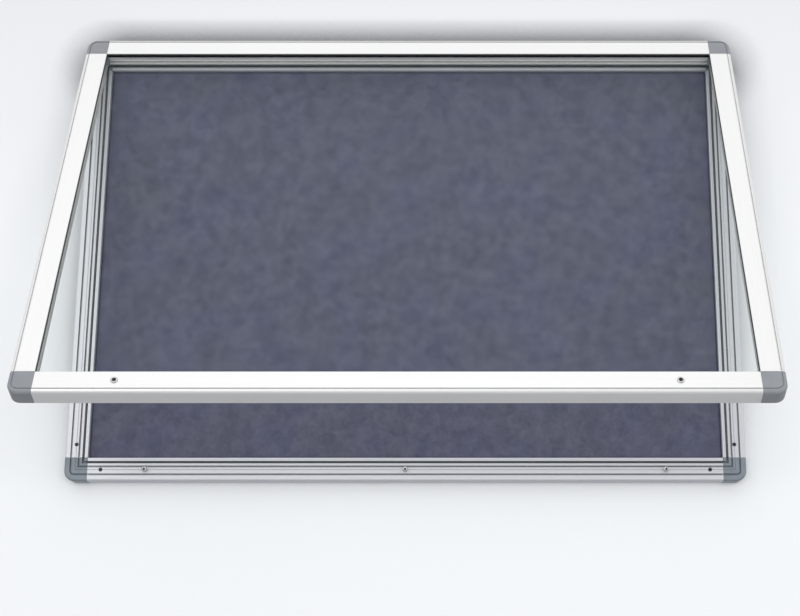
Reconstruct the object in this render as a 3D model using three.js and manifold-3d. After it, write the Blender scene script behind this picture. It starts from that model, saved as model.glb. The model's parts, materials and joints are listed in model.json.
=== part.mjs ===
// A lockable notice board for a wall. A shallow aluminium case holds a felt-covered pin board on a steel
// back panel. A glazed aluminium door hangs from the case's top rail on a continuous extruded hinge, two
// cam locks in its bottom rail catch studs on the case, and it stands part-way open.
// Millimetres. X runs along the board, Y into the wall and Z up, from the middle of the back panel.
import * as THREE from "three";
import { mergeVertices } from "three/addons/utils/BufferGeometryUtils.js";
import Module from "manifold-3d";

// Overall size
const boardWidth = 970;
const boardHeight = 660;
const cornerRadius = 15;
const openAngle = THREE.MathUtils.degToRad(24.8);

// Clearances
const seatGap = 0.3; // between pieces that seat on each other
const runningGap = 0.3; // between pieces that turn in each other
const cutOverrun = 2; // how far a cut runs past the face that it opens

// Case rail section, across its front face from the outer edge inwards
const flangeWidth = 7.9;
const grooveWidth = 2.4;
const flatWidth = 8.9;
const ribWidth = 3.5;
const sealSlotWidth = 3.2;
const lipWidth = 4.7;
const grooveDepth = 2.2;
const markWidth = 1; // the fine line along the flat on which the rail is drilled
const markDepth = 0.5;
const sealSlotDepth = 3.6;
const caseWall = 1.8;
const caseFaceWall = 3.8;
const caseBoxWidth = 23.4; // the hollow part of the rail, from the outer edge inwards
const screwLine = 16; // from the outer edge, along the drilling line
const caseEdgeRadius = 3;
const lipEdgeRadius = 0.8;
const ledgeWidth = 5; // the rear ledge that the back panel and the pin board lie against
const grooveAStart = flangeWidth;
const flatStart = grooveAStart + grooveWidth;
const grooveBStart = flatStart + flatWidth;
const ribStart = grooveBStart + grooveWidth;
const sealSlotStart = ribStart + ribWidth;
const lipStart = sealSlotStart + sealSlotWidth;
const caseRailWidth = lipStart + lipWidth;
const caseChamberEnd = caseBoxWidth - caseWall;
const casePocketStart = caseBoxWidth;

// What the case holds, from the wall forwards
const panelThickness = 1;
const boardThickness = 12;
const glueLine = 0.1;
const feltThickness = 1.2;
const displayRecess = 8; // from the case's front face back to the felt
const boardClearance = 0.5;
const ledgeRear = panelThickness + seatGap;
const ledgeFront = ledgeRear + caseWall;
const boardRear = ledgeFront + seatGap;
const feltRear = boardRear + boardThickness + glueLine;
const feltFront = feltRear + feltThickness;
const caseDepth = feltFront + displayRecess;

// Rubber seal round the display
const sealCrown = 1.2; // how far the seal stands out of the case's face
const sealFootWidth = sealSlotWidth - 2 * seatGap;
const doorGap = sealCrown + seatGap;

// Door rail section
const doorEdgeRadius = 5;
const doorFaceWidth = 27;
const doorDepth = 23.5;
const doorWall = 1.6;
const creaseWidth = 1.6; // the line between the flat face and the rounded edge
const creaseDepth = 0.9;
const doorLipRadius = 0.8;
const glazingSlotDepth = 6.5;
const channelDepth = 8.3; // the open channel along the rear, which takes the studs and the cams
const innerLegSetback = 2;
const doorRailWidth = doorEdgeRadius + doorFaceWidth;
const glazingSlotStart = doorRailWidth - glazingSlotDepth;
const doorChamberEnd = glazingSlotStart - doorWall;
const doorChamberRear = channelDepth + doorWall;
const doorLipRear = doorDepth - doorWall;
const innerLegEnd = doorRailWidth - innerLegSetback;

// Glazing
const glassThickness = 4;
const glassClearance = 0.7;
const gasketThickness = 1.6;
const gasketShow = 1; // how far the front gaskets stand out past the lip, over the glass
const gasketFrontRear = doorLipRear - seatGap - gasketThickness;
const glassRear = gasketFrontRear - seatGap - glassThickness;
const gasketRearRear = glassRear - seatGap - gasketThickness;
const glazingSlotRear = gasketRearRear - seatGap;

// Continuous hinge: a bead on the case's top rail, held in a socket along the door's top rail
const beadRadius = 3;
const neckThickness = 1.6;
const socketWall = 1.3;
const hingeClearance = 0.4;
const socketBore = beadRadius + runningGap;
const socketRadius = socketBore + socketWall;
const hingeOut = socketRadius + hingeClearance; // axis in front of the case's face
const hingeDown = socketRadius; // axis below the top edge
const hingeInDoor = hingeOut - doorGap; // axis in front of the door's rear face
const mouthHalf = neckThickness / 2 + runningGap;

// Corner connectors
const legLength = 38;
const legTaper = 3;
const screwPlace = caseRailWidth + legLength / 2; // from the outer corner, along the rail

// Corner screws, countersunk with a cross recess
const screwHeadRadius = 2.8;
const screwShankRadius = 1.5;
const screwLength = 14;
const screwTip = 2;
const crossWidth = 0.8;
const crossReach = 1.7;
const crossDepth = 1.2;

// Studs with a pan head, which the lock cams catch behind
const studFromEnd = 115; // of the case
const studHeadRadius = 3.8;
const studHeadHeight = 2.5;
const studRimHeight = 0.75;
const studShankRadius = 2.1;
const studStandOff = 4.5;
const studTailRadius = 3.4;
const studTailHeight = 1.2;
const studPlace = boardWidth / 2 - studFromEnd; // from the middle of the rail

// Cam locks
const plugRadius = 2.5;
const barrelWall = 0.7;
const bezelLip = 1.3;
const bezelHeight = 0.9;
const plugSink = 0.3; // how far the plug's face lies behind the bezel's
const keySlotWidth = 0.9;
const keySlotLength = 3.4;
const keySlotDepth = 3;
const nutWall = 1;
const nutHeight = 2.4;
const tangSize = 3.2;
const camThickness = 2;
const camWidth = 8;
const camClearance = 1;
const camCornerRadius = 1.5;
const camScrewHeadRadius = 2.4;
const camScrewHeadHeight = 1.2;
const camScrewShankRadius = 0.9;
const camScrewLength = 4;
const barrelRadius = plugRadius + runningGap + barrelWall;
const nutHalfWidth = barrelRadius + seatGap + nutWall;
const lockLine = doorEdgeRadius + doorFaceWidth / 2;
const camSweep = lockLine - doorWall - camClearance;
const camReach = Math.sqrt(camSweep ** 2 - (camWidth / 2) ** 2);
const lockPlace = studPlace - studShankRadius - camClearance / 2 - camReach;
const camFront = studStandOff - doorGap - seatGap; // behind the stud's head once the door is shut
const camRear = camFront - camThickness;

// Facets on round shapes
const edgeSteps = 5;
const cornerSteps = 10;
const beadSteps = 20;
const socketSteps = 14;
const turnedFaces = 20;
const hexagonFaces = 6;

const QUARTER = Math.PI / 2;

// Materials
function finish(color, roughness, metalness, more = {}) {
  return new THREE.MeshStandardMaterial({ color, roughness, metalness, ...more });
}
const caseAluminium = finish(0xb9bdbf, 0.36, 0.9);
const doorAluminium = finish(0xdcdcda, 0.4, 0.85);
const doorPlastic = finish(0x8a8f96, 0.55, 0);
const casePlastic = finish(0x5d666d, 0.5, 0);
const sealRubber = finish(0x17181a, 0.75, 0);
const gasketRubber = finish(0x1c1d1f, 0.7, 0);
const greyFelt = finish(0x5d6070, 0.95, 0);
const fibreBoard = finish(0xa98d63, 0.9, 0);
const galvanisedSteel = finish(0xa6abae, 0.45, 0.85);
const clearGlass = finish(0xe6efee, 0.04, 0, { transparent: true, opacity: 0.2 });
const brightSteel = finish(0xd3d5d6, 0.25, 1);
const darkSteel = finish(0x4a4c4f, 0.4, 0.9);

const wasm = await Module();
wasm.setup();

// Solids: a geometry of three.js as a closed solid, and back
function solidOf(geometry) {
  const bare = geometry.index ? geometry.toNonIndexed() : geometry.clone();
  bare.deleteAttribute("normal");
  bare.deleteAttribute("uv");
  const merged = mergeVertices(bare);
  const corners = merged.index.array;
  const kept = [];
  for (let i = 0; i < corners.length; i += 3) {
    const [a, b, c] = corners.slice(i, i + 3);
    if (a !== b && b !== c && c !== a) kept.push(a, b, c);
  }
  return new wasm.Manifold(
    new wasm.Mesh({
      numProp: 3,
      vertProperties: merged.attributes.position.array,
      triVerts: new Uint32Array(kept),
    }),
  );
}

function geometryOf(solid) {
  const { vertProperties, triVerts } = solid.getMesh();
  const geometry = new THREE.BufferGeometry();
  geometry.setAttribute("position", new THREE.BufferAttribute(vertProperties, 3));
  geometry.setIndex(new THREE.BufferAttribute(triVerts, 1));
  geometry.computeVertexNormals();
  return geometry;
}

function cutFrom(geometry, cuts) {
  const left = cuts.reduce((solid, cut) => solid.subtract(solidOf(cut)), solidOf(geometry));
  return geometryOf(left);
}

function joined(geometries) {
  const [first, ...rest] = geometries.map(solidOf);
  return geometryOf(rest.reduce((solid, next) => solid.add(next), first));
}

// Outlines
function arc([x, y], radius, from, to, steps) {
  return Array.from({ length: steps + 1 }, (_, i) => {
    const angle = from + ((to - from) * i) / steps;
    return [x + radius * Math.cos(angle), y + radius * Math.sin(angle)];
  });
}

function shapeOf(points) {
  return new THREE.Shape(points.map(([x, y]) => new THREE.Vector2(x, y)));
}

function rectangle(x0, x1, y0, y1) {
  return [
    [x0, y0],
    [x1, y0],
    [x1, y1],
    [x0, y1],
  ];
}

// A plate: an outline in X and Y, from one height to another
function plate(points, from, to) {
  const settings = { depth: to - from, bevelEnabled: false };
  return new THREE.ExtrudeGeometry(shapeOf(points), settings).translate(0, 0, from);
}

// A bar: a section in Y and Z, carried along X with its middle at zero
const alongX = new THREE.Matrix4().makeBasis(
  new THREE.Vector3(0, 1, 0),
  new THREE.Vector3(0, 0, 1),
  new THREE.Vector3(1, 0, 0),
);

function bar(section, hollows, length) {
  return carried(section, hollows, length).applyMatrix4(alongX);
}

// The same with its section in X and Z, carried along Y
function crossBar(section, length) {
  return carried(section, [], length).rotateX(QUARTER);
}

function carried(section, hollows, length) {
  const shape = shapeOf(section);
  shape.holes = hollows.map(shapeOf);
  const settings = { depth: length, bevelEnabled: false };
  return new THREE.ExtrudeGeometry(shape, settings).translate(0, 0, -length / 2);
}

// A turned piece about the Z axis: radii and heights, from the rear forwards
function turned(profile, faces = turnedFaces) {
  const points = profile.map(([radius, height]) => new THREE.Vector2(radius, height));
  return new THREE.LatheGeometry(points, faces).rotateX(QUARTER);
}

function rod(radius, from, to, faces = turnedFaces) {
  return turned([[0, from], [radius, from], [radius, to], [0, to]], faces);
}

// The four sides of a frame. On each one X runs along the side, Y points inwards from the outer edge
// and Z forwards from the rear face.
const sides = ["bottom", "right", "top", "left"];
const cornerNames = ["bottom_left", "bottom_right", "top_right", "top_left"];
const sideLengths = [boardWidth, boardHeight, boardWidth, boardHeight];
const sideOffsets = [boardHeight / 2, boardWidth / 2, boardHeight / 2, boardWidth / 2];

function sideFrame(parent, index) {
  const side = new THREE.Group();
  side.rotation.set(QUARTER, -index * QUARTER, 0, "YXZ");
  side.position.set(0, -sideOffsets[index], 0).applyEuler(side.rotation);
  parent.add(side);
  return side;
}

function place(parent, name, geometry, material, x = 0, y = 0, z = 0) {
  const mesh = new THREE.Mesh(geometry, material);
  mesh.name = name;
  mesh.position.set(x, y, z);
  parent.add(mesh);
  return mesh;
}

// Case rails
function groove(start) {
  const bottom = caseDepth - grooveDepth;
  return [
    [start, caseDepth],
    [start, bottom],
    [start + grooveWidth, bottom],
    [start + grooveWidth, caseDepth],
  ];
}

function drillingMark() {
  const half = markWidth / 2;
  return [
    [screwLine - half, caseDepth],
    [screwLine, caseDepth - markDepth],
    [screwLine + half, caseDepth],
  ];
}

function hingeBead() {
  const centre = [hingeDown, caseDepth + hingeOut];
  const neckTurn = Math.asin(neckThickness / 2 / beadRadius);
  return [
    [hingeDown - neckThickness / 2, caseDepth],
    ...arc(centre, beadRadius, 3 * QUARTER - neckTurn, neckTurn - QUARTER, beadSteps),
    [hingeDown + neckThickness / 2, caseDepth],
  ];
}

function caseSection(onFlange) {
  const slotBottom = caseDepth - sealSlotDepth;
  const lipRear = feltFront + seatGap;
  const ledgeEnd = casePocketStart + ledgeWidth;
  const edge = [caseEdgeRadius, caseDepth - caseEdgeRadius];
  const lipEdge = [caseRailWidth - lipEdgeRadius, caseDepth - lipEdgeRadius];
  return [
    [0, 0],
    ...arc(edge, caseEdgeRadius, 2 * QUARTER, QUARTER, edgeSteps),
    ...onFlange,
    ...groove(grooveAStart),
    ...drillingMark(),
    ...groove(grooveBStart),
    [sealSlotStart, caseDepth],
    [sealSlotStart, slotBottom],
    [lipStart, slotBottom],
    [lipStart, caseDepth],
    ...arc(lipEdge, lipEdgeRadius, QUARTER, 0, edgeSteps),
    [caseRailWidth, lipRear],
    [caseRailWidth - caseWall, lipRear],
    [caseRailWidth - caseWall, slotBottom - caseWall],
    [casePocketStart, slotBottom - caseWall],
    [casePocketStart, ledgeFront],
    [ledgeEnd, ledgeFront],
    [ledgeEnd, ledgeRear],
    [casePocketStart, ledgeRear],
    [casePocketStart, 0],
  ];
}

const caseChamber = rectangle(caseWall, caseChamberEnd, caseWall, caseDepth - caseFaceWall);

function caseRail(index) {
  const length = sideLengths[index] - 2 * caseRailWidth - 2 * seatGap;
  const onFlange = sides[index] === "top" ? hingeBead() : [];
  const rail = bar(caseSection(onFlange), [caseChamber], length);
  const screwX = sideLengths[index] / 2 - screwPlace;
  const cuts = [-screwX, screwX].map((x) => screwHole().translate(x, screwLine, 0));
  if (sides[index] === "bottom") {
    const inner = caseDepth - caseFaceWall - cutOverrun;
    const hole = rod(studShankRadius + seatGap, inner, caseDepth + cutOverrun);
    cuts.push(...studPlaces.map((x) => hole.clone().translate(x, screwLine, 0)));
  }
  return cutFrom(rail, cuts);
}

// Corner screws
function countersunkProfile(grow) {
  const headHeight = screwHeadRadius - screwShankRadius;
  return [
    [0, caseDepth - screwLength - grow],
    [screwShankRadius / 2 + grow, caseDepth - screwLength - grow],
    [screwShankRadius + grow, caseDepth - screwLength + screwTip - grow],
    [screwShankRadius + grow, caseDepth - headHeight - grow],
    [screwHeadRadius + grow, caseDepth],
  ];
}

function screwHole() {
  const over = caseDepth + cutOverrun;
  return turned([...countersunkProfile(seatGap), [screwHeadRadius + seatGap, over], [0, over]]);
}

function crossRecess(top, depth) {
  const half = crossWidth / 2;
  const bottom = top - depth;
  const over = top + cutOverrun;
  const across = plate(rectangle(-crossReach, crossReach, -half, half), bottom, over);
  const along = plate(rectangle(-half, half, -crossReach, crossReach), bottom, over);
  return joined([across, along]);
}

function cornerScrew() {
  const body = turned([...countersunkProfile(0), [0, caseDepth]]);
  return cutFrom(body, [crossRecess(caseDepth, crossDepth)]);
}

// Studs
const studPlaces = [-studPlace, 0, studPlace];

function stud() {
  const under = caseDepth + studStandOff;
  const tailTop = caseDepth - caseFaceWall - seatGap;
  const tailBottom = tailTop - studTailHeight;
  const crown = under + studHeadHeight;
  const dome = arc([0, 0], 1, 0, QUARTER, edgeSteps).map(([across, up]) => [
    studHeadRadius * across,
    under + studRimHeight + (studHeadHeight - studRimHeight) * up,
  ]);
  const body = turned([
    [0, tailBottom],
    [studTailRadius, tailBottom],
    [studTailRadius, tailTop],
    [studShankRadius, tailTop],
    [studShankRadius, under],
    [studHeadRadius, under],
    ...dome,
  ]);
  return cutFrom(body, [crossRecess(crown, crossDepth)]);
}

// Corner connectors: a rounded block that closes the corner, with a leg in the hollow of each rail
function cornerPath(inset, reach) {
  const centre = [cornerRadius, cornerRadius];
  const radius = cornerRadius - inset;
  const bend = radius > 0 ? arc(centre, radius, 2 * QUARTER, 3 * QUARTER, cornerSteps) : [[inset, inset]];
  return [[inset, reach], ...bend, [reach, inset]];
}

function cornerBlock(size, depth, edgeRadius) {
  const reach = size + cutOverrun;
  const shape = shapeOf([...cornerPath(edgeRadius, reach), [reach, reach]]);
  const rounded = new THREE.ExtrudeGeometry(shape, {
    depth: depth - edgeRadius,
    bevelThickness: edgeRadius,
    bevelSize: edgeRadius,
    bevelSegments: edgeSteps,
  });
  const square = plate(rectangle(-cutOverrun, size, -cutOverrun, size), 0, depth + cutOverrun);
  return geometryOf(solidOf(rounded).intersect(solidOf(square)));
}

function cornerGroove(start, width, top, depth, size) {
  const reach = size + cutOverrun;
  const outline = [...cornerPath(start, reach), ...cornerPath(start + width, reach).reverse()];
  return plate(outline, top - depth, top + cutOverrun);
}

function cornerLegs(size, chamber) {
  const [[low, rear], , [high, front]] = chamber;
  const start = size - cutOverrun;
  const end = size + legLength;
  const leg = [
    [start, low + seatGap],
    [end - legTaper, low + seatGap],
    [end, low + seatGap + legTaper],
    [end, high - seatGap - legTaper],
    [end - legTaper, high - seatGap],
    [start, high - seatGap],
  ];
  const turnedLeg = leg.map(([x, y]) => [y, x]);
  return [leg, turnedLeg].map((outline) => plate(outline, rear + seatGap, front - seatGap));
}

function caseCorner() {
  const size = caseRailWidth;
  const block = cornerBlock(size, caseDepth, caseEdgeRadius);
  const pocketEnd = size + cutOverrun;
  const pocketOutline = rectangle(casePocketStart, pocketEnd, casePocketStart, pocketEnd);
  const pocket = plate(pocketOutline, -cutOverrun, feltFront + seatGap);
  const grooves = [grooveAStart, grooveBStart].map((start) =>
    cornerGroove(start, grooveWidth, caseDepth, grooveDepth, size),
  );
  const body = joined([cutFrom(block, [pocket, ...grooves]), ...cornerLegs(size, caseChamber)]);
  const pilot = rod(screwShankRadius + seatGap, 0, caseDepth);
  return cutFrom(body, [
    pilot.clone().translate(screwPlace, screwLine, 0),
    pilot.clone().translate(screwLine, screwPlace, 0),
  ]);
}

// Door rails
const doorChamber = rectangle(doorWall, doorChamberEnd, doorChamberRear, doorLipRear);

function doorFront() {
  const edge = [doorEdgeRadius, doorDepth - doorEdgeRadius];
  const lipEdge = [doorRailWidth - doorLipRadius, doorDepth - doorLipRadius];
  return [
    ...arc(edge, doorEdgeRadius, 2 * QUARTER, QUARTER, edgeSteps),
    [doorEdgeRadius, doorDepth - creaseDepth],
    [doorEdgeRadius + creaseWidth, doorDepth - creaseDepth],
    [doorEdgeRadius + creaseWidth, doorDepth],
    ...arc(lipEdge, doorLipRadius, QUARTER, 0, edgeSteps),
    [doorRailWidth, doorLipRear],
    [glazingSlotStart, doorLipRear],
    [glazingSlotStart, glazingSlotRear],
    [innerLegEnd, glazingSlotRear],
    [innerLegEnd, glazingSlotRear - doorWall],
    [glazingSlotStart, glazingSlotRear - doorWall],
    [glazingSlotStart, doorWall],
    [innerLegEnd, doorWall],
    [innerLegEnd, 0],
    [doorChamberEnd, 0],
    [doorChamberEnd, channelDepth],
  ];
}

function plainDoorSection() {
  return [[0, 0], ...doorFront(), [doorWall, channelDepth], [doorWall, 0]];
}

// The socket wraps the bead from just below the neck to just in front of it, so the mouth left between
// the rear and the top lets the door swing up past square while the bead stays caught.
function hingedDoorSection() {
  const axis = [hingeDown, hingeInDoor];
  const outerTurn = Math.asin(mouthHalf / socketRadius);
  const innerTurn = Math.asin(mouthHalf / socketBore);
  return [
    [0, hingeInDoor + mouthHalf],
    ...doorFront(),
    [hingeDown + socketRadius, channelDepth],
    ...arc(axis, socketRadius, 0, outerTurn - QUARTER, edgeSteps),
    ...arc(axis, socketBore, innerTurn - QUARTER, 2 * QUARTER - innerTurn, socketSteps),
  ];
}

function doorRail(index) {
  const length = sideLengths[index] - 2 * doorRailWidth - 2 * seatGap;
  const section = sides[index] === "top" ? hingedDoorSection() : plainDoorSection();
  const rail = bar(section, [doorChamber], length);
  if (sides[index] !== "bottom") return rail;
  const hole = rod(barrelRadius + seatGap, channelDepth - cutOverrun, doorDepth + cutOverrun);
  return cutFrom(rail, lockPlaces.map((x) => hole.clone().translate(x, lockLine, 0)));
}

function doorCorner(index) {
  const size = doorRailWidth;
  const block = cornerBlock(size, doorDepth, doorEdgeRadius);
  const reach = size + cutOverrun;
  const slotOutline = rectangle(glazingSlotStart, reach, glazingSlotStart, reach);
  const cuts = [
    plate(slotOutline, glazingSlotRear, doorLipRear),
    cornerGroove(doorEdgeRadius, creaseWidth, doorDepth, creaseDepth, size),
  ];
  const name = cornerNames[index];
  if (name === "top_right") cuts.push(bar(hingeRelief(), [], 2 * reach));
  if (name === "top_left") cuts.push(crossBar(hingeRelief(), 2 * reach));
  return joined([cutFrom(block, cuts), ...cornerLegs(size, doorChamber)]);
}

// What the rear top edge of a door corner loses, so that it rolls past the case as the door opens
function hingeRelief() {
  const far = -cutOverrun;
  return [
    [far, far],
    [hingeDown, far],
    ...arc([hingeDown, hingeInDoor], socketRadius, 3 * QUARTER, 2 * QUARTER, edgeSteps),
    [far, hingeInDoor],
  ];
}

// Rubber strips
function caseSeal(index) {
  const length = sideLengths[index] - 2 * caseRailWidth - 2 * seatGap;
  const foot = caseDepth - sealSlotDepth + seatGap;
  const left = sealSlotStart + seatGap;
  const radius = sealFootWidth / 2;
  const shoulder = caseDepth + sealCrown - radius;
  const crown = arc([left + radius, shoulder], radius, 0, 2 * QUARTER, 2 * edgeSteps);
  return bar([[left, foot], [left + sealFootWidth, foot], ...crown], [], length);
}

// A strip that stops short of the rail's end, or of the strip that runs across it
function gasket(index, rear, end) {
  const length = sideLengths[index] - 2 * Math.max(end, doorRailWidth) - 2 * seatGap;
  const start = glazingSlotStart + glassClearance;
  const nose = gasketThickness / 2;
  const tip = arc([end - nose, rear + nose], nose, -QUARTER, QUARTER, edgeSteps);
  return bar([[start, rear], ...tip, [start, rear + gasketThickness]], [], length);
}

// Sheets that fill the frame inside a border
function sheet(border, rear, front) {
  const halfWidth = boardWidth / 2 - border;
  const halfHeight = boardHeight / 2 - border;
  return plate(rectangle(-halfWidth, halfWidth, -halfHeight, halfHeight), rear, front);
}

// Cam locks, about their own axis with Z forwards
const lockPlaces = [-lockPlace, lockPlace];
const bezelRear = doorDepth + seatGap;
const bezelFront = bezelRear + bezelHeight;
const nutFront = channelDepth - seatGap;
const barrelRear = nutFront - nutHeight;
const plugRear = camFront + seatGap;
const tangRear = camRear + seatGap;

function lockBarrel() {
  const body = turned([
    [0, barrelRear],
    [barrelRadius, barrelRear],
    [barrelRadius, bezelRear],
    [barrelRadius + bezelLip, bezelRear],
    [barrelRadius + bezelLip / 2, bezelFront],
    [0, bezelFront],
  ]);
  return cutFrom(body, [rod(plugRadius + runningGap, barrelRear - cutOverrun, bezelFront + cutOverrun)]);
}

function lockNut() {
  const radius = nutHalfWidth / Math.cos(Math.PI / hexagonFaces);
  const hexagon = arc([0, 0], radius, 0, 4 * QUARTER, hexagonFaces).slice(1);
  const body = plate(hexagon, nutFront - nutHeight, nutFront);
  return cutFrom(body, [rod(barrelRadius + seatGap, barrelRear - cutOverrun, nutFront + cutOverrun)]);
}

function lockPlug() {
  const front = bezelFront - plugSink;
  const half = tangSize / 2;
  const body = rod(plugRadius, plugRear, front);
  const tang = plate(rectangle(-half, half, -half, half), tangRear, plugRear + cutOverrun);
  const slotHalfWidth = keySlotWidth / 2;
  const slotHalfLength = keySlotLength / 2;
  const slotOutline = rectangle(-slotHalfWidth, slotHalfWidth, -slotHalfLength, slotHalfLength);
  const slot = plate(slotOutline, front - keySlotDepth, front + cutOverrun);
  const tapped = rod(camScrewShankRadius + seatGap, tangRear - cutOverrun, tangRear + camScrewLength);
  return cutFrom(joined([body, tang]), [slot, tapped]);
}

// The cam points down when the lock is open
function lockCam() {
  const half = camWidth / 2;
  const hole = tangSize / 2 + runningGap;
  const tip = camCornerRadius - camReach;
  const outline = [
    ...arc([0, 0], half, 0, 2 * QUARTER, 2 * edgeSteps),
    ...arc([camCornerRadius - half, tip], camCornerRadius, 2 * QUARTER, 3 * QUARTER, edgeSteps),
    ...arc([half - camCornerRadius, tip], camCornerRadius, 3 * QUARTER, 4 * QUARTER, edgeSteps),
  ];
  const square = plate(rectangle(-hole, hole, -hole, hole), camRear - cutOverrun, camFront + cutOverrun);
  return cutFrom(plate(outline, camRear, camFront), [square]);
}

function camScrew() {
  const seat = camRear - seatGap;
  const back = seat - camScrewHeadHeight;
  const tip = tangRear + camScrewLength - seatGap;
  return turned([
    [0, back],
    [camScrewHeadRadius, back],
    [camScrewHeadRadius, seat],
    [camScrewShankRadius, seat],
    [camScrewShankRadius, tip],
    [0, tip],
  ]);
}

function addLock(side, name, x) {
  place(side, `lock_barrel_${name}`, lockBarrel(), brightSteel, x, lockLine);
  place(side, `lock_nut_${name}`, lockNut(), brightSteel, x, lockLine);
  place(side, `lock_plug_${name}`, lockPlug(), darkSteel, x, lockLine);
  place(side, `lock_cam_${name}`, lockCam(), brightSteel, x, lockLine);
  place(side, `cam_screw_${name}`, camScrew(), brightSteel, x, lockLine);
}

// Assembly of the case
function addCase(parent) {
  sides.forEach((name, index) => {
    const side = sideFrame(parent, index);
    const half = sideLengths[index] / 2;
    place(side, `case_rail_${name}`, caseRail(index), caseAluminium);
    place(side, `case_seal_${name}`, caseSeal(index), sealRubber);
    place(side, `case_corner_${cornerNames[index]}`, caseCorner(), casePlastic, -half);
    [-1, 1].forEach((end) => {
      const screwName = `corner_screw_${name}_${end < 0 ? "start" : "end"}`;
      place(side, screwName, cornerScrew(), darkSteel, end * (half - screwPlace), screwLine);
    });
    if (name !== "bottom") return;
    const studNames = ["keeper_stud_left", "middle_stud", "keeper_stud_right"];
    studPlaces.forEach((x, i) => place(side, studNames[i], stud(), brightSteel, x, screwLine));
  });
  const filling = new THREE.Group();
  filling.rotation.x = QUARTER;
  parent.add(filling);
  const panelBorder = casePocketStart + seatGap;
  const boardBorder = casePocketStart + boardClearance;
  place(filling, "back_panel", sheet(panelBorder, 0, panelThickness), galvanisedSteel);
  place(filling, "pin_board", sheet(boardBorder, boardRear, boardRear + boardThickness), fibreBoard);
  place(filling, "felt_facing", sheet(boardBorder, feltRear, feltFront), greyFelt);
}

// Assembly of the door, which turns about the hinge axis. Its leaf lies shut before it is turned.
function addDoor(parent) {
  const hinge = new THREE.Group();
  hinge.position.set(0, -(caseDepth + hingeOut), boardHeight / 2 - hingeDown);
  hinge.rotation.x = -openAngle;
  parent.add(hinge);
  const leaf = new THREE.Group();
  leaf.position.set(0, hingeInDoor, hingeDown - boardHeight / 2);
  hinge.add(leaf);
  sides.forEach((name, index) => {
    const side = sideFrame(leaf, index);
    place(side, `door_rail_${name}`, doorRail(index), doorAluminium);
    const cornerName = `door_corner_${cornerNames[index]}`;
    place(side, cornerName, doorCorner(index), doorPlastic, -sideLengths[index] / 2);
    const frontGasket = gasket(index, gasketFrontRear, doorRailWidth + gasketShow);
    const rearGasket = gasket(index, gasketRearRear, innerLegEnd);
    place(side, `front_gasket_${name}`, frontGasket, gasketRubber);
    place(side, `rear_gasket_${name}`, rearGasket, gasketRubber);
    if (name !== "bottom") return;
    addLock(side, "left", -lockPlace);
    addLock(side, "right", lockPlace);
  });
  const glazing = new THREE.Group();
  glazing.rotation.x = QUARTER;
  leaf.add(glazing);
  const glassBorder = glazingSlotStart + glassClearance;
  place(glazing, "glass_pane", sheet(glassBorder, glassRear, glassRear + glassThickness), clearGlass);
}

const noticeBoard = new THREE.Group();
addCase(noticeBoard);
addDoor(noticeBoard);

export default noticeBoard;
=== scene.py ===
# %% [markdown]
# # A lockable notice board for a wall
#
# The construction model already holds every piece of the board at its real size and place: a shallow case
# with a felt pin board, and a glazed door that hangs from the case's top rail. This lesson gives those
# pieces their surfaces. Extrusions get the small radii that make aluminium catch light, corners are carried
# round as one moulding, hardware is turned as on a lathe, and each finish is mixed from shader nodes.

# %% Load the construction model
import json
import math

import bmesh
import bpy
import numpy as np
from mathutils import Matrix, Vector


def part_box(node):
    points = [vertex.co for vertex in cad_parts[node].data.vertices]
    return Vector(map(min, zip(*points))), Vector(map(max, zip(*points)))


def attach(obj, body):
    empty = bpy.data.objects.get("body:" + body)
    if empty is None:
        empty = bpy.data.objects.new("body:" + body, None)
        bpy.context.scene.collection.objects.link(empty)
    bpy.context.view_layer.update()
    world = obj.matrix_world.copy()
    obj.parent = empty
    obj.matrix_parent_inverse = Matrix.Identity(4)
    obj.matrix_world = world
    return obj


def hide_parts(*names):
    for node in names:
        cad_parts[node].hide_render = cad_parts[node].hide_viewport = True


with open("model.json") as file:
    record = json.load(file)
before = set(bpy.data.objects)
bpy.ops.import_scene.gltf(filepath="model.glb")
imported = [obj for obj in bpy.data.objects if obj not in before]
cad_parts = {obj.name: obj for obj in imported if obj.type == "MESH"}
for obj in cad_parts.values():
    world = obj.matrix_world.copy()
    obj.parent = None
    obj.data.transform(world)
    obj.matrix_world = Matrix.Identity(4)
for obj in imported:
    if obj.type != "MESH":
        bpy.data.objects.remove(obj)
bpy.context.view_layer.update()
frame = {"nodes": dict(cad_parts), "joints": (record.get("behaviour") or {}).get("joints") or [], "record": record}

MM = 0.001  # shapes are worked out in millimetres and come into the scene in metres
QUARTER = math.pi / 2

# %% [markdown]
# ## Camera
#
# The board was photographed from below its lower edge, looking up. Lines that run into the wall meet at one
# point of the picture, which gives the lens and the tilt. That point lies right of the middle, because the
# picture was cropped, and a small sideways shift of the lens does the same here.

# %% Camera at the photograph's viewpoint
picture_width_px = 800
lens_length_px = 1481.0  # the distance of the picture plane, in pixels of the photograph
axis_px = 459.9  # where the lens's axis meets the picture, from its left edge
camera_place = (0.0776, -2.1188, -0.6178)
camera_tilt = math.radians(14.48)

camera_data = bpy.data.cameras.new("camera")
camera_data.lens = camera_data.sensor_width * lens_length_px / picture_width_px
camera_data.shift_x = (picture_width_px / 2 - axis_px) / picture_width_px
camera = bpy.data.objects.new("camera", camera_data)
camera.location = camera_place
camera.rotation_euler = (QUARTER + camera_tilt, 0, 0)
bpy.context.scene.collection.objects.link(camera)
bpy.context.scene.camera = camera
bpy.context.scene.view_settings.view_transform = "Standard"
print("lens, mm:", round(camera_data.lens, 2), "shift:", round(camera_data.shift_x, 4))

# %% [markdown]
# ## Shader maths as Python
#
# A finish is a small calculation that is done again at each point of a surface. Wiring it by hand hides the
# sum in boxes and links. Here a socket is wrapped in a class whose plus, minus and times signs add the
# Math nodes, so the finish reads as the sum that it is. Every other node comes from one method.

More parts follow.
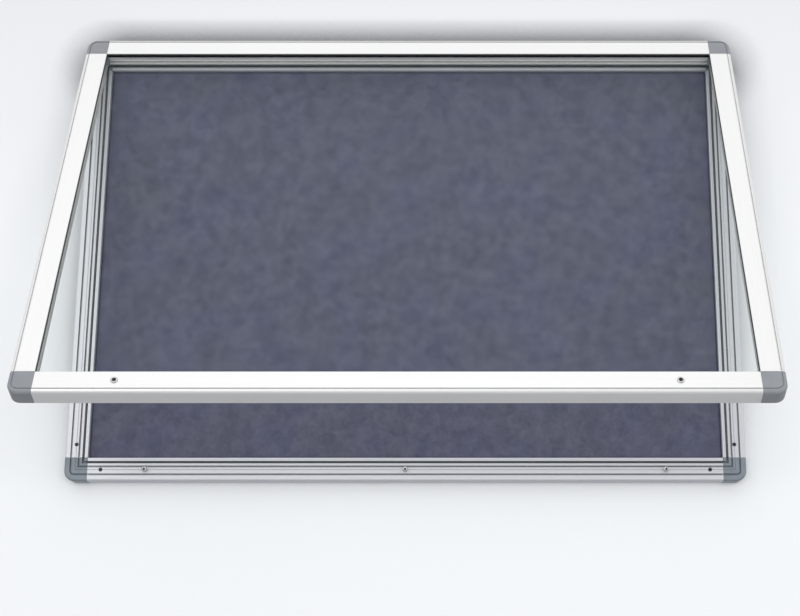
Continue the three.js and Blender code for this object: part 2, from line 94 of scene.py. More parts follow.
# %% A value in a finish
class Value:
    """A socket in an expression: each operator adds the Math node of its name."""

    def __init__(self, finish, socket):
        self.finish = finish
        self.socket = socket

    def maths(self, operation, first, second=0.0):
        return self.finish.node("ShaderNodeMath", {"operation": operation}, {0: first, 1: second})

    def __add__(self, other):
        return self.maths("ADD", self, other)

    def __sub__(self, other):
        return self.maths("SUBTRACT", self, other)

    def __rsub__(self, other):
        return self.maths("SUBTRACT", other, self)

    def __mul__(self, other):
        return self.maths("MULTIPLY", self, other)

    __radd__ = __add__
    __rmul__ = __mul__


print("values and numbers mix in sums with +, - and *")

# %% [markdown]
# The finish holds the values and their nodes. Besides the general method it has one for each thing that
# comes back in most finishes: hairlines along a piece, noise, painted shade in sheltered places, and fine relief.

# %% The finish that holds them
class Finish:
    """A material under construction. Places on it are in metres."""

    def __init__(self, name):
        self.material = bpy.data.materials.new(name)
        self.material.use_nodes = True
        self.tree = self.material.node_tree
        self.tree.nodes.clear()

    def node(self, kind, settings=None, inputs=None, output=0):
        """A node: its settings first, then a number or a link for each input. Returns one output."""
        made = self.tree.nodes.new(kind)
        for key, setting in (settings or {}).items():
            if key == "stops":
                self.set_stops(made.color_ramp, setting)
            else:
                setattr(made, key, setting)
        for key, value in (inputs or {}).items():
            if isinstance(value, Value):
                self.tree.links.new(value.socket, made.inputs[key])
            else:
                made.inputs[key].default_value = value
        return None if output is None else Value(self, made.outputs[output])

    def set_stops(self, ramp, stops):
        while len(ramp.elements) < len(stops):
            ramp.elements.new(1.0)
        for element, (position, color) in zip(ramp.elements, stops):
            element.position = position
            element.color = (*color, 1)

    def along(self, lengthwise, across):
        """The piece's own map, stretched: so many features a metre along the piece and across it."""
        place = self.node("ShaderNodeTexCoord", output="UV")
        scale = {"Vector": place, "Scale": (lengthwise, across, 1)}
        return self.node("ShaderNodeMapping", inputs=scale)

    def solid(self):
        """The place in the room, for patterns that run right through a piece."""
        return self.node("ShaderNodeTexCoord", output="Object")

    def noise(self, place, scale, detail=2.0, roughness=0.5):
        inputs = {"Vector": place, "Scale": scale, "Detail": detail, "Roughness": roughness}
        return self.node("ShaderNodeTexNoise", inputs=inputs)

    def ramp(self, value, stops):
        return self.node("ShaderNodeValToRGB", {"stops": stops}, {0: value})

    def level(self, value, low, high):
        """The value, with low to high spread over 0 to 1 and cut off there."""
        return self.node("ShaderNodeMapRange", inputs={0: value, 1: low, 2: high})

    def blend(self, share, first, second):
        """The first colour, which goes over into the second as the share goes from 0 to 1."""
        first, second = (x if isinstance(x, Value) else (*x, 1) for x in (first, second))
        return self.node("ShaderNodeMix", {"data_type": "RGBA"}, {0: share, 6: first, 7: second}, output=2)

    def sheltered(self, reach, own=True):
        """0 in the open and towards 1 deep in a groove or corner, within a reach in metres. With own,
        only the piece's own walls count, and otherwise its neighbours' as well."""
        settings = {"only_local": own, "samples": 8}
        free = self.node("ShaderNodeAmbientOcclusion", settings, {"Distance": reach}, output="AO")
        return 1 - free

    # Painted shade: the colour is darkened where the piece's walls, or its neighbours too, hide the open room.
    def with_painted_shade(self, unshaded, shade_color, most, low, high, reach=0.004, own=True):
        """The colour in the open, and up to the share most of a dark colour where the piece is sheltered: painted
        shade.
        """
        return self.blend(most * self.level(self.sheltered(reach, own), low, high), unshaded, shade_color)

    def bump(self, height, depth, strength=1.0):
        relief = {"Height": height, "Distance": depth, "Strength": strength}
        return self.node("ShaderNodeBump", inputs=relief)

    def principled(self, **inputs):
        named = {key.replace("_", " "): value for key, value in inputs.items()}
        return self.node("ShaderNodeBsdfPrincipled", inputs=named)

    def show(self, shader):
        self.node("ShaderNodeOutputMaterial", inputs={"Surface": shader}, output=None)
        return self.material

    def surface(self, **inputs):
        """The finished material, of one principled shader."""
        return self.show(self.principled(**inputs))


print("a finish has", sum(callable(x) for x in vars(Finish).values()), "methods")

# %% [markdown]
# ## Studio
#
# The board hangs on a pale wall, with its middle at eye height above a plain floor. The wall shows to the
# eye alone and lets all other light through, so that the back of the board, which real walls hide, is lit
# too when the view goes round it. Seen from behind, the wall isn't there, nor the floor from below.

# %% Paints for the wall and the floor
def seen_in_front(paint, share, shader):
    """The shader by the given share where the front of a face is met, and nothing at all elsewhere."""
    back = paint.node("ShaderNodeNewGeometry", output="Backfacing")
    clear = paint.node("ShaderNodeBsdfTransparent")
    mixed = paint.node("ShaderNodeMixShader", inputs={0: share * (1 - back), 1: clear, 2: shader})
    return paint.show(mixed)


def wall_paint():
    """Matt paint, a little greyer higher up. A painted shadow darkens it towards the board, by how much of the
    open room the frame takes from it: fully above the board, less beside it and not at all below."""
    paint = Finish("wall paint")
    height = paint.node("ShaderNodeSeparateXYZ", inputs={0: paint.solid()}, output="Z")
    plain = paint.blend(paint.level(height, 0.0, 0.4), (0.87, 0.88, 0.893), (0.76, 0.768, 0.779))
    above, beside = paint.level(height, 0.25, 0.34), paint.level(height, -0.33, -0.1)
    # Painted shadow: the colour darkens round the board where the frame hides the open room, most above it.
    near = paint.level(paint.sheltered(0.07, own=False), 0.045, 0.21)
    color = paint.blend((0.7 * above + 0.3 * beside) * near, plain, (0.22, 0.222, 0.23))
    matt = paint.principled(Base_Color=color, Roughness=1.0, Specular_IOR_Level=0.0)
    return seen_in_front(paint, paint.node("ShaderNodeLightPath", output="Is Camera Ray"), matt)


def floor_paint():
    paint = Finish("floor paint")
    soft = paint.noise(paint.solid(), 2.5)
    pale = paint.ramp(soft, [(0.3, (0.4, 0.408, 0.42)), (0.7, (0.43, 0.438, 0.45))])
    return seen_in_front(paint, 1.0, paint.principled(Base_Color=pale, Roughness=0.7))


matt_wall = wall_paint()
matt_floor = floor_paint()
print("paints:", matt_wall.name, "and", matt_floor.name)

# %% [markdown]
# Wall and floor are one face each. The wall stands a hair behind the board's back, so that the two don't
# fight for the same pixels.

# %% Wall and floor
floor_drop = 1.5  # from the middle of the board down to the floor
wall_gap = 0.0008
wall_half_width = 3.0
wall_rise = 1.7
floor_half = 6.0


def rectangle(x0, x1, y0, y1):
    return np.array([(x0, y0), (x1, y0), (x1, y1), (x0, y1)], float)


def stage_plane(name, outline, axis, place, material):
    """A face with the outline in two axes, at one place on the third."""
    mesh = bpy.data.meshes.new(name)
    mesh.from_pydata(np.insert(outline, axis, place, axis=1).tolist(), [], [(0, 1, 2, 3)])
    mesh.materials.append(material)
    plane = bpy.data.objects.new(name, mesh)
    bpy.context.scene.collection.objects.link(plane)
    return plane


upright = rectangle(-wall_half_width, wall_half_width, -floor_drop, wall_rise)
level_ground = rectangle(-floor_half, floor_half, -floor_half, floor_half)
wall = stage_plane("wall", upright, 1, wall_gap, matt_wall)
floor = stage_plane("floor", level_ground, 2, -floor_drop, matt_floor)
print("stage:", wall.name, floor.name)

# %% [markdown]
# Most of the light comes evenly from the world, which also is the pale backdrop that metal mirrors. That
# draws soft shade into every groove. Lamps shape it: the door leans back and mirrors what is high in front
# of it, so a soft lamp there makes it white. One in front and one on either side brighten the case's
# rails, a low strip draws the highlight on the door's round lower edge, and a large fill that metal doesn't
# mirror brings felt and wall to their level. One behind the wall lights the board's back.

# %% Lamps and world
def lamp(name, place, target, width, height, watts):
    """A soft rectangular lamp that looks at a point: its minus Z axis goes from place to target."""
    data = bpy.data.lights.new(name, "AREA")
    data.shape = "RECTANGLE"
    data.size, data.size_y = width, height
    data.energy = watts
    made = bpy.data.objects.new(name, data)
    made.location = place
    aim = np.subtract(target, place)
    made.rotation_euler = (math.atan2(math.hypot(aim[0], aim[1]), -aim[2]), 0, math.atan2(-aim[0], aim[1]))
    made.visible_camera = False
    bpy.context.scene.collection.objects.link(made)
    return made


fill = lamp("fill lamp", (0.35, -3.2, -0.15), (0, 0, 0), 3.0, 1.2, 37)
fill.visible_glossy = False
lamps = [
    fill,
    lamp("top lamp", (-0.1, -1.6, 2.2), (0, -0.15, 0), 2.8, 2.2, 7),
    lamp("front lamp", (-0.9, -3.6, 0.3), (0, 0, -0.2), 2.2, 0.9, 3),
    lamp("left lamp", (-1.9, -3.0, 0.9), (0, 0, 0), 2.0, 2.0, 8),
    lamp("right lamp", (3.2, -2.4, 0.2), (0, 0, 0), 2.2, 2.2, 4),
    lamp("low lamp", (0.4, -2.7, -1.1), (0, -0.3, -0.2), 3.2, 0.4, 2),
    lamp("rear lamp", (0.8, 3.0, 1.2), (0, 0, 0), 2.4, 2.4, 8),
]

backdrop_color = (0.97, 0.985, 1.0, 1)
backdrop_strength = 0.82

world = bpy.data.worlds.new("world")
world.use_nodes = True
bpy.context.scene.world = world
background = world.node_tree.nodes["Background"]
background.inputs["Color"].default_value = backdrop_color
background.inputs["Strength"].default_value = backdrop_strength
print("lamps:", [(x.name, x.data.energy) for x in lamps])

# %% [markdown]
# ## Satin aluminium
#
# The rails are extruded through a die, etched and anodised. The die leaves hairlines that run the whole
# length of a rail and the etch turns them into a soft sheen. So the pattern is noise that is stretched many
# hundredfold along the rail, read from the piece's own map, and a second, even noise for the bath.
# The bottoms of the grooves are darker, as painted shade in the colour.

# %% Aluminium for the case and for the door
def satin_aluminium(name, light, dark, roughness, metallic):
    """Hairlines 0.4 mm and 2 mm wide shift colour and gloss a little; the finest ones also have depth. The
    more a place is sheltered, the darker its painted shade."""
    metal = Finish(name)
    fine = metal.noise(metal.along(3, 2600), 1.0, detail=3)
    broad = metal.noise(metal.along(0.9, 420), 1.0)
    bath = metal.noise(metal.solid(), 9, detail=3)
    tone = metal.level(0.45 * fine + 0.35 * broad + 0.2 * bath, 0.3, 0.7)
    unshaded = metal.blend(tone, dark, light)
    gloss = roughness + 0.12 * (fine - 0.5) + 0.08 * (bath - 0.5)
    return metal.surface(
        # Painted shade: sheltered places, such as the bottoms of the grooves, go towards near black.
        Base_Color=metal.with_painted_shade(unshaded, (0.045, 0.045, 0.05), 0.95, 0.25, 0.55),
        Metallic=metallic,
        Roughness=gloss,
        Normal=metal.bump(fine, 0.00003, 0.5),
    )


case_aluminium = satin_aluminium("case aluminium", (0.71, 0.72, 0.75), (0.61, 0.62, 0.65), 0.34, 0.5)
door_aluminium = satin_aluminium("door aluminium", (0.94, 0.935, 0.92), (0.85, 0.845, 0.83), 0.4, 0.8)
print("metals:", case_aluminium.name, door_aluminium.name)

# %% [markdown]
# ## Moulded plastic
#
# The corners come out of a spark-eroded mould, which prints a fine even grain on them. The grain is noise
# of about a third of a millimetre, with a slower one for the cloudy sheen of filled plastic.

# %% Plastic for the corners of the door and of the case
def moulded_plastic(name, light, dark, roughness):
    """Grain by fine noise as height, cloudiness by slow noise in colour and gloss, and painted shade in grooves.
    """
    plastic = Finish(name)
    grain = plastic.noise(plastic.solid(), 2800, detail=3, roughness=0.6)
    cloud = plastic.noise(plastic.solid(), 45, detail=3)
    tone = plastic.level(0.7 * cloud + 0.3 * grain, 0.3, 0.7)
    unshaded = plastic.blend(tone, dark, light)
    return plastic.surface(
        # Painted shade: grooves and corners go towards near black.
        Base_Color=plastic.with_painted_shade(unshaded, (0.02, 0.024, 0.03), 0.8, 0.3, 0.65),
        Roughness=roughness + 0.14 * (cloud - 0.5),
        Normal=plastic.bump(grain, 0.00005, 0.6),
        Specular_IOR_Level=0.5,
    )


door_plastic = moulded_plastic("door corner plastic", (0.265, 0.275, 0.294), (0.22, 0.231, 0.25), 0.42)
case_plastic = moulded_plastic("case corner plastic", (0.225, 0.258, 0.29), (0.17, 0.2, 0.228), 0.34)
print("plastics:", door_plastic.name, case_plastic.name)

# %% [markdown]
# ## Rubber
#
# The glazing gaskets are black and the case's seal is dark grey. Rubber is never even: talc and handling
# leave paler patches, and the die leaves faint lines along it.

# %% Rubber for the seal and the gaskets
def extruded_rubber(name, plain, dusty, roughness):
    """Dust by the upper half of a slow noise, which lightens and dulls; die lines as height."""
    rubber = Finish(name)
    dust = rubber.level(rubber.noise(rubber.solid(), 70, detail=5, roughness=0.65), 0.45, 0.8)
    lines = rubber.noise(rubber.along(4, 3000), 1.0)
    return rubber.surface(
        Base_Color=rubber.blend(dust, plain, dusty),
        Roughness=roughness + 0.2 * dust,
        Normal=rubber.bump(lines, 0.00004, 0.5),
    )


seal_rubber = extruded_rubber("seal rubber", (0.06, 0.063, 0.067), (0.1, 0.103, 0.107), 0.5)
gasket_rubber = extruded_rubber("gasket rubber", (0.012, 0.012, 0.013), (0.035, 0.035, 0.036), 0.45)
print("rubbers:", seal_rubber.name, gasket_rubber.name)

# %% [markdown]
# ## Felt
#
# Needled felt is a mat of fibres with no weave. Close to, it is short curved hairs in every direction. From
# a step away the hairs merge into soft clouds, a little bluer here and greyer there, where the mat is
# thicker. Each scale is a noise, and the place where the finer ones are read is swayed by yet another, so
# that no row shows.

# %% Felt for the pin board
def needled_felt(name):
    """Clouds of 8 and 20 mm in colour, hairs under a millimetre in colour and height, and painted shade
    along the edge where the mat meets the frame."""
    felt = Finish(name)
    place = felt.solid()
    bend = felt.node("ShaderNodeTexNoise", inputs={"Vector": place, "Scale": 60.0}, output=1)
    sway = {0: bend, 1: (0.02, 0.02, 0.02), 2: place}
    strayed = felt.node("ShaderNodeVectorMath", {"operation": "MULTIPLY_ADD"}, sway)
    large = felt.noise(strayed, 48, detail=4, roughness=0.6)
    small = felt.noise(strayed, 130, detail=3, roughness=0.6)
    hairs = felt.noise(strayed, 1300, detail=4, roughness=0.7)
    tint = felt.noise(place, 14, detail=2)
    tone = felt.level(0.5 * large + 0.25 * small + 0.25 * hairs, 0.37, 0.63)
    blue = felt.blend(tone, (0.075, 0.078, 0.126), (0.125, 0.128, 0.186))
    grey = felt.blend(tone, (0.077, 0.081, 0.115), (0.127, 0.13, 0.173))
    unshaded = felt.blend(felt.level(tint, 0.35, 0.65), blue, grey)
    # Painted shade along the felt's edge, where the frame's lip stands over it.
    edge_shaded = felt.with_painted_shade(unshaded, (0.018, 0.02, 0.032), 0.8, 0.12, 0.5, reach=0.005, own=False)
    return felt.surface(
        Base_Color=edge_shaded,
        Roughness=0.95,
        Specular_IOR_Level=0.15,
        Sheen_Weight=0.12,
        Sheen_Roughness=0.6,
        Normal=felt.bump(hairs, 0.00015, 0.3),
    )


grey_felt = needled_felt("grey felt")
print("felt:", grey_felt.name)

# %% [markdown]
# ## Glass
#
# The pane is clear and flat. What is behind it is hardly bent, so it needs no true refraction: the surface
# is see-through, with a thin mirror on top whose strength follows Fresnel's law. That also lets the lamps'
# light fall through it on to the felt. Faces met from inside the glass mirror nothing, or light that comes
# in at a low angle would never get out. A little green is the iron in the glass.

# %% Glass for the pane
coated_index = 1.13  # the photograph shows no reflection, so the pane is taken as coated against it


def clear_pane(name):
    """See-through and mirror, mixed by Fresnel's law for a coated pane; smears vary the mirror's gloss."""
    pane = Finish(name)
    smears = pane.noise(pane.solid(), 5, detail=5, roughness=0.6)
    clear = pane.node("ShaderNodeBsdfTransparent", inputs={"Color": (0.975, 0.985, 0.98, 1)})
    mirror = pane.principled(
        Base_Color=(1, 1, 1, 1),
        Metallic=1.0,
        Roughness=0.03 + 0.05 * pane.level(smears, 0.4, 0.8),
    )
    inside = pane.node("ShaderNodeNewGeometry", output="Backfacing")
    share = (1 - inside) * pane.node("ShaderNodeFresnel", inputs={"IOR": coated_index})
    return pane.show(pane.node("ShaderNodeMixShader", inputs={0: share, 1: clear, 2: mirror}))


clear_glass = clear_pane("clear glass")
print("glass:", clear_glass.name)

# %% [markdown]
# ## Plated steel, galvanised sheet and fibre board
#
# Lock barrels, studs and cams are nickel plated, and the corners' screws and the lock plugs are dark.
# Plating on small parts shows fine marks in every direction, and its recesses get painted shade.

# %% Plated steel
def plated_steel(name, light, dark, roughness):
    """Bright metal with a fine random brushing and a slow cloudiness, and painted shade in its recesses."""
    metal = Finish(name)
    brushed = metal.noise(metal.solid(), 2200, detail=3)
    cloud = metal.noise(metal.solid(), 160, detail=2)
    unshaded = metal.blend(metal.level(cloud, 0.3, 0.7), dark, light)
    return metal.surface(
        # Painted shade: recesses such as the cross and the socket go towards black.
        Base_Color=metal.with_painted_shade(unshaded, (0.02, 0.02, 0.022), 0.9, 0.25, 0.5),
        Metallic=1.0,
        Roughness=roughness + 0.12 * (brushed - 0.5) + 0.06 * (cloud - 0.5),
        Normal=metal.bump(brushed, 0.00002, 0.5),
    )


bright_steel = plated_steel("nickel plated steel", (0.7, 0.695, 0.685), (0.61, 0.605, 0.6), 0.22)
dark_steel = plated_steel("dark plated steel", (0.1, 0.1, 0.11), (0.05, 0.05, 0.055), 0.34)
print("steels:", bright_steel.name, dark_steel.name)

# %% [markdown]
# The back panel is hot-dipped sheet with its spangle, a pattern of zinc crystals that Voronoi cells give at
# once. The pin board behind the felt is pressed wood fibre.

# %% Zinc sheet and fibre board
def galvanised_sheet(name):
    """Each zinc crystal is a Voronoi cell about 9 mm across, with a tone of its own."""
    zinc = Finish(name)
    cells = {"Vector": zinc.solid(), "Scale": 110.0}
    crystals = zinc.node("ShaderNodeTexVoronoi", inputs=cells, output="Color")
    tone = zinc.node("ShaderNodeSeparateColor", inputs={0: crystals})
    frost = zinc.noise(zinc.solid(), 700, detail=3)
    mixed = zinc.level(0.7 * tone + 0.3 * frost, 0.1, 0.9)
    return zinc.surface(
        Base_Color=zinc.blend(mixed, (0.46, 0.48, 0.5), (0.6, 0.62, 0.635)),
        Metallic=0.9,
        Roughness=0.32 + 0.2 * tone,
        Normal=zinc.bump(frost, 0.00003, 0.5),
    )


def pressed_fibre(name):
    """Brown fibres of about a millimetre by fine noise, and slow patches of 30 mm that darken them."""
    board = Finish(name)
    fibres = board.noise(board.solid(), 900, detail=4, roughness=0.7)
    patches = board.noise(board.solid(), 35, detail=3)
    tone = board.level(0.6 * fibres + 0.4 * patches, 0.3, 0.7)
    return board.surface(
        Base_Color=board.blend(tone, (0.26, 0.17, 0.085), (0.5, 0.36, 0.2)),
        Roughness=0.9,
        Normal=board.bump(fibres, 0.0003, 0.7),
    )


galvanised_steel = galvanised_sheet("galvanised sheet")
fibre_board = pressed_fibre("fibre board")
print("sheets:", galvanised_steel.name, fibre_board.name)

# %% [markdown]
# ## Outlines with real corners
#
# No edge of a real extrusion is sharp: the die rounds each one by a few tenths of a millimetre, and those
# small radii are what draws a bright line along a rail. So an outline is written as corners, each with
# its radius, and one function puts the arcs in for all of them at once.

# %% Rounded outlines and arcs
corner_steps = 7
curve_steps = 24
nose_steps = 16  # for the small round noses of rubber strips and stud heads
same_place = 1e-4  # points nearer than this, in millimetres, are one


def rounded(corners, closed=True):
    """Corners (x, y, radius) to an outline. With a and b the unit directions to the two neighbours and h
    half the angle between them, the arc's centre lies radius / sin h along a + b, and the arc starts
    radius / tan h along a. The ends of an open outline stay sharp."""
    corners = np.asarray(corners, float)
    points, radii = corners[:, :2], corners[:, 2].copy()
    if not closed:
        radii[[0, -1]] = 0
    to_last = np.roll(points, 1, axis=0) - points
    to_next = np.roll(points, -1, axis=0) - points
    a = to_last / np.linalg.norm(to_last, axis=1, keepdims=True)
    b = to_next / np.linalg.norm(to_next, axis=1, keepdims=True)
    half = np.arccos(np.clip((a * b).sum(1), -1, 1)) / 2
    middle = a + b
    middle /= np.maximum(np.linalg.norm(middle, axis=1, keepdims=True), 1e-9)
    centre = points + middle * (radii / np.sin(half))[:, None]
    start = points + a * (radii / np.tan(half))[:, None] - centre
    end = points + b * (radii / np.tan(half))[:, None] - centre
    first = np.arctan2(start[:, 1], start[:, 0])
    turn = np.arctan2(end[:, 1], end[:, 0]) - first
    turn = (turn + math.pi) % (2 * math.pi) - math.pi
    angle = first[:, None] + turn[:, None] * np.linspace(0, 1, corner_steps + 1)
    ring = np.stack([np.cos(angle), np.sin(angle)], axis=2) * radii[:, None, None]
    return without_doubles((centre[:, None] + ring).reshape(-1, 2), closed)


def without_doubles(points, closed=True):
    """The outline without points that repeat the one before."""
    step = np.linalg.norm(points - np.roll(points, 1, axis=0), axis=1)
    keep = step > same_place
    if not closed:
        keep[0] = True
    return points[keep]


def arc(centre, radius, start, end, steps=curve_steps):
    """Points at even angles from start to end, in radians, round a centre."""
    angle = np.linspace(start, end, steps + 1)
    return np.asarray(centre) + radius * np.stack([np.cos(angle), np.sin(angle)], axis=1)


trial = rounded([(0, 0, 1), (9, 0, 1), (9, 9, 1), (0, 9, 1)])
print("a square with round corners has", len(trial), "points")

# %% [markdown]
# ## Solids from grids
#
# A rail, a moulded corner and a turned stud are the same thing to a computer: a closed outline that is
# carried along a path, straight, round a bend or round an axis. Each gives a grid of points, with the
# outline along one side and the path along the other, and one function joins any grid into faces.

# %% A solid shape
class Solid:
    """Points in millimetres, faces as lists of point numbers, and a map place for each face's corners."""

    def __init__(self, points, faces, places):
        self.points = np.asarray(points, float)
        self.faces = faces
        self.places = places

    def moved(self, matrix):
        """The same solid through a matrix of four rows."""
        full = np.c_[self.points, np.ones(len(self.points))] @ np.array(matrix).T
        return Solid(full[:, :3], self.faces, self.places)

    def shifted(self, x, y):
        return self.moved(Matrix.Translation((x, y, 0)))

    def along_x(self):
        """Stood on Z, now lying along X: each axis gives its numbers to the next."""
        return Solid(self.points[:, [2, 0, 1]], self.faces, self.places)

    def along_y(self):
        """Stood on Z, now lying along Y with its outline in X and Z."""
        return self.moved(Matrix.Rotation(QUARTER, 4, "X"))

    def __add__(self, other):
        """Both as separate shells of one mesh."""
        count = len(self.points)
        moved_faces = [[i + count for i in face] for face in other.faces]
        points = np.vstack([self.points, other.points])
        return Solid(points, self.faces + moved_faces, np.vstack([self.places, other.places]))


print("a solid can be", [name for name in vars(Solid) if not name.startswith("_")])

# %% [markdown]
# The grid's rows are places on the path, and each row is the outline there. Every small square between two
# rows is a face. The piece's own map takes the true lengths along the path and round the outline, so that
# hairlines stay the same width on every piece.

# %% How a grid becomes a solid
def lengths_along(points):
    """The running length along a line of points, from 0."""
    return np.r_[0, np.cumsum(np.linalg.norm(np.diff(points, axis=0), axis=1))]


def grid_solid(grid, capped=True, looped=False):
    """A grid of points, path by outline, as quads. The outline closes on itself, and the path's ends are
    capped unless it is looped or shrinks to the axis. The map has the path's length and the outline's."""
    rows, count = grid.shape[:2]
    closed = np.concatenate([grid, grid[:, :1]], axis=1)
    longest = np.linalg.norm(np.diff(closed, axis=1), axis=2).sum(1).argmax()
    around = lengths_along(closed[longest])
    path = np.concatenate([grid, grid[:1]]) if looped else grid
    travel = lengths_along(path[:, 0])
    i, j = np.meshgrid(np.arange(len(path) - 1), np.arange(count), indexing="ij")
    near, far = i * count, (i + 1) % rows * count
    after = (j + 1) % count
    quads = np.stack([near + j, near + after, far + after, far + j], axis=2).reshape(-1, 4)
    u = np.stack([travel[i], travel[i], travel[i + 1], travel[i + 1]], axis=2)
    v = np.stack([around[j], around[j + 1], around[j + 1], around[j]], axis=2)
    places = np.stack([u, v], axis=3).reshape(-1, 2)
    faces = quads.tolist()
    if capped:
        ring = np.arange(count)
        faces += [ring[::-1].tolist(), (ring + (rows - 1) * count).tolist()]
        across = grid[0] - grid[0].mean(0)
        flat = across @ np.linalg.svd(across, full_matrices=False)[2][:2].T
        places = np.vstack([places, flat[::-1], flat])
    return Solid(grid.reshape(-1, 3), faces, places)


trial = grid_solid(np.array([[(0, 0, z), (1, 0, z), (0, 1, z)] for z in range(3)], float))
print("a triangle over three rows has", len(trial.faces), "faces with its caps")

# %% [markdown]
# Most pieces are one of two grids: an outline carried straight, as a die makes it, or a profile turned
# about an axis, as a lathe does.

# %% Extruded and turned shapes
turn_steps = 56


def prism(outline, low, high):
    """An outline in X and Y, carried straight up from one height to another."""
    heights = np.array([low, high], float)
    grid = np.empty((2, len(outline), 3))
    grid[..., :2] = outline
    grid[..., 2] = heights[:, None]
    return grid_solid(grid)


def bar(outline, length):
    """An outline in Y and Z carried along X, with its middle at 0."""
    return prism(outline, -length / 2, length / 2).along_x()


def turned(profile, steps=turn_steps):
    """A profile (radius, height) that starts and ends on the axis, turned about Z: x = radius times the
    cosine of the angle and y = radius times its sine."""
    profile = np.asarray(profile, float)
    angle = np.arange(steps) / steps * 2 * math.pi
    grid = np.empty((steps, len(profile), 3))
    grid[..., 0] = np.cos(angle)[:, None] * profile[:, 0]
    grid[..., 1] = np.sin(angle)[:, None] * profile[:, 0]
    grid[..., 2] = profile[:, 1]
    return grid_solid(grid, capped=False, looped=True)


def rod(radius, low, high):
    return turned([(0, low), (radius, low), (radius, high), (0, high)])


trial = rod(2.5, 0, 10)
print("a rod has", len(trial.points), "points and", len(trial.faces), "faces")

# %% [markdown]
# ## From solid to piece
#
# A solid becomes a mesh in metres: points that coincide are merged and the faces are turned outwards.
# Holes are cut with the exact Boolean, as a drill does it, after the profile is made. Last, faces
# that meet at a gentle angle are shaded as one surface, and large faces keep their own direction.

# %% Meshes from solids
merge_distance = 2e-7  # metres


def mesh_of(solid, place=None):
    """The solid as a closed mesh in metres, at a place given as a matrix in millimetres."""
    mesh = bpy.data.meshes.new("shape")
    placed = solid.moved(place) if place is not None else solid
    mesh.from_pydata((placed.points * MM).tolist(), [], placed.faces)
    layer = mesh.uv_layers.new(name="along")
    layer.data.foreach_set("uv", (placed.places * MM).astype(np.float32).ravel())
    work = bmesh.new()
    work.from_mesh(mesh)
    bmesh.ops.remove_doubles(work, verts=work.verts, dist=merge_distance)
    bmesh.ops.recalc_face_normals(work, faces=work.faces)
    work.to_mesh(mesh)
    work.free()
    return mesh


def shown(mesh, name="shape"):
    made = bpy.data.objects.new(name, mesh)
    bpy.context.scene.collection.objects.link(made)
    return made


def settle(made):
    """Applies the object's modifiers to its mesh."""
    bpy.context.view_layer.update()
    graph = bpy.context.evaluated_depsgraph_get()
    mesh = bpy.data.meshes.new_from_object(made.evaluated_get(graph))
    made.modifiers.clear()
    made.data = mesh
    return made


trial_mesh = mesh_of(trial)
print("the rod as a mesh has", len(trial_mesh.vertices), "points")
bpy.data.meshes.remove(trial_mesh)

# %% [markdown]
# A Boolean needs objects, so the shapes stand in the scene for a moment and go again once the result is
# taken. Everything that is joined is joined before the cuts, or a bore would be closed again.

# %% Joining and cutting
def combined(mesh, others, operation):
    """The mesh with the other meshes joined to it (UNION) or cut from it (DIFFERENCE), one by one."""
    made = shown(mesh)
    helpers = [shown(other) for other in others]
    for helper in helpers:
        step = made.modifiers.new("step", "BOOLEAN")
        step.operation = operation
        step.solver = "EXACT"
        step.object = helper
    result = settle(made).data
    for helper in [made, *helpers]:
        bpy.data.objects.remove(helper)
    return result


def cut_from(solid, cutters, place=None, added=()):
    """A solid with others joined and others cut away, as a mesh at its place."""
    mesh = mesh_of(solid, place)
    if added:
        mesh = combined(mesh, [mesh_of(x, place) for x in added], "UNION")
    if cutters:
        mesh = combined(mesh, [mesh_of(x, place) for x in cutters], "DIFFERENCE")
    return mesh


trial_mesh = cut_from(trial, [rod(1, -5, 15)])
print("a pipe, cut from the rod, has", len(trial_mesh.vertices), "points")
bpy.data.meshes.remove(trial_mesh)

# %% [markdown]
# A finished piece takes the place of its node in the construction model. It has one slot, for its finish,
# and rides on the node's body, so it moves when the door swings or a key turns.

# %% From mesh to piece
smooth_limit = math.radians(38)
bodies = frame["record"]["behaviour"]["bodies"]
body_of = {node: body for body, nodes in bodies.items() for node in nodes}


def piece(node, mesh, material):
    """A finished piece that stands for a node of the construction model and rides on its body."""
    made = shown(mesh, node + "_fine")
    mesh.materials.clear()
    mesh.materials.append(material)
    mesh.polygons.foreach_set("material_index", np.zeros(len(mesh.polygons), np.int32))
    mesh.polygons.foreach_set("use_smooth", np.ones(len(mesh.polygons), bool))
    mesh.set_sharp_from_angle(angle=smooth_limit)
    weigh = made.modifiers.new("large faces lead", "WEIGHTED_NORMAL")
    weigh.keep_sharp = True
    settle(made)
    made.data.name = made.name
    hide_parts(node)
    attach(made, body_of[node])
    return made


# %% [markdown]
# ## The four sides of a frame
#
# Case and door are both frames of four rails. Each rail is drawn once in a frame of its own, in which X
# runs along the side, Y inwards from the outer edge and Z forwards from the rear face. A matrix then lays
# it on its side of the board, and for the door a second one swings it open by the angle of the joint.

# %% Where the case's and the door's sides lie
SIDES = ("bottom", "right", "top", "left")
CORNERS = ("bottom_left", "bottom_right", "top_right", "top_left")
case_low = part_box("case_corner_bottom_left")[0] / MM
case_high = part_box("case_corner_top_right")[1] / MM
board_width = case_high.x - case_low.x
board_height = case_high.z - case_low.z
case_depth = case_high.y - case_low.y
case_rail_low, case_rail_high = (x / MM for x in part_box("case_rail_bottom"))
case_rail_width = case_rail_high.z - case_rail_low.z
side_lengths = (board_width, board_height, board_width, board_height)
hinge = next(joint for joint in frame["joints"] if joint["name"] == "door_hinge")
hinge_place = np.array(hinge["pos_m"]) / MM
open_angle = -math.radians(hinge["range_deg"][0])
hinge_out = -case_depth - hinge_place[1]
hinge_down = board_height / 2 - hinge_place[2]
door_gap = 1.5  # between case and door once it is shut
hinge_in_door = hinge_out - door_gap


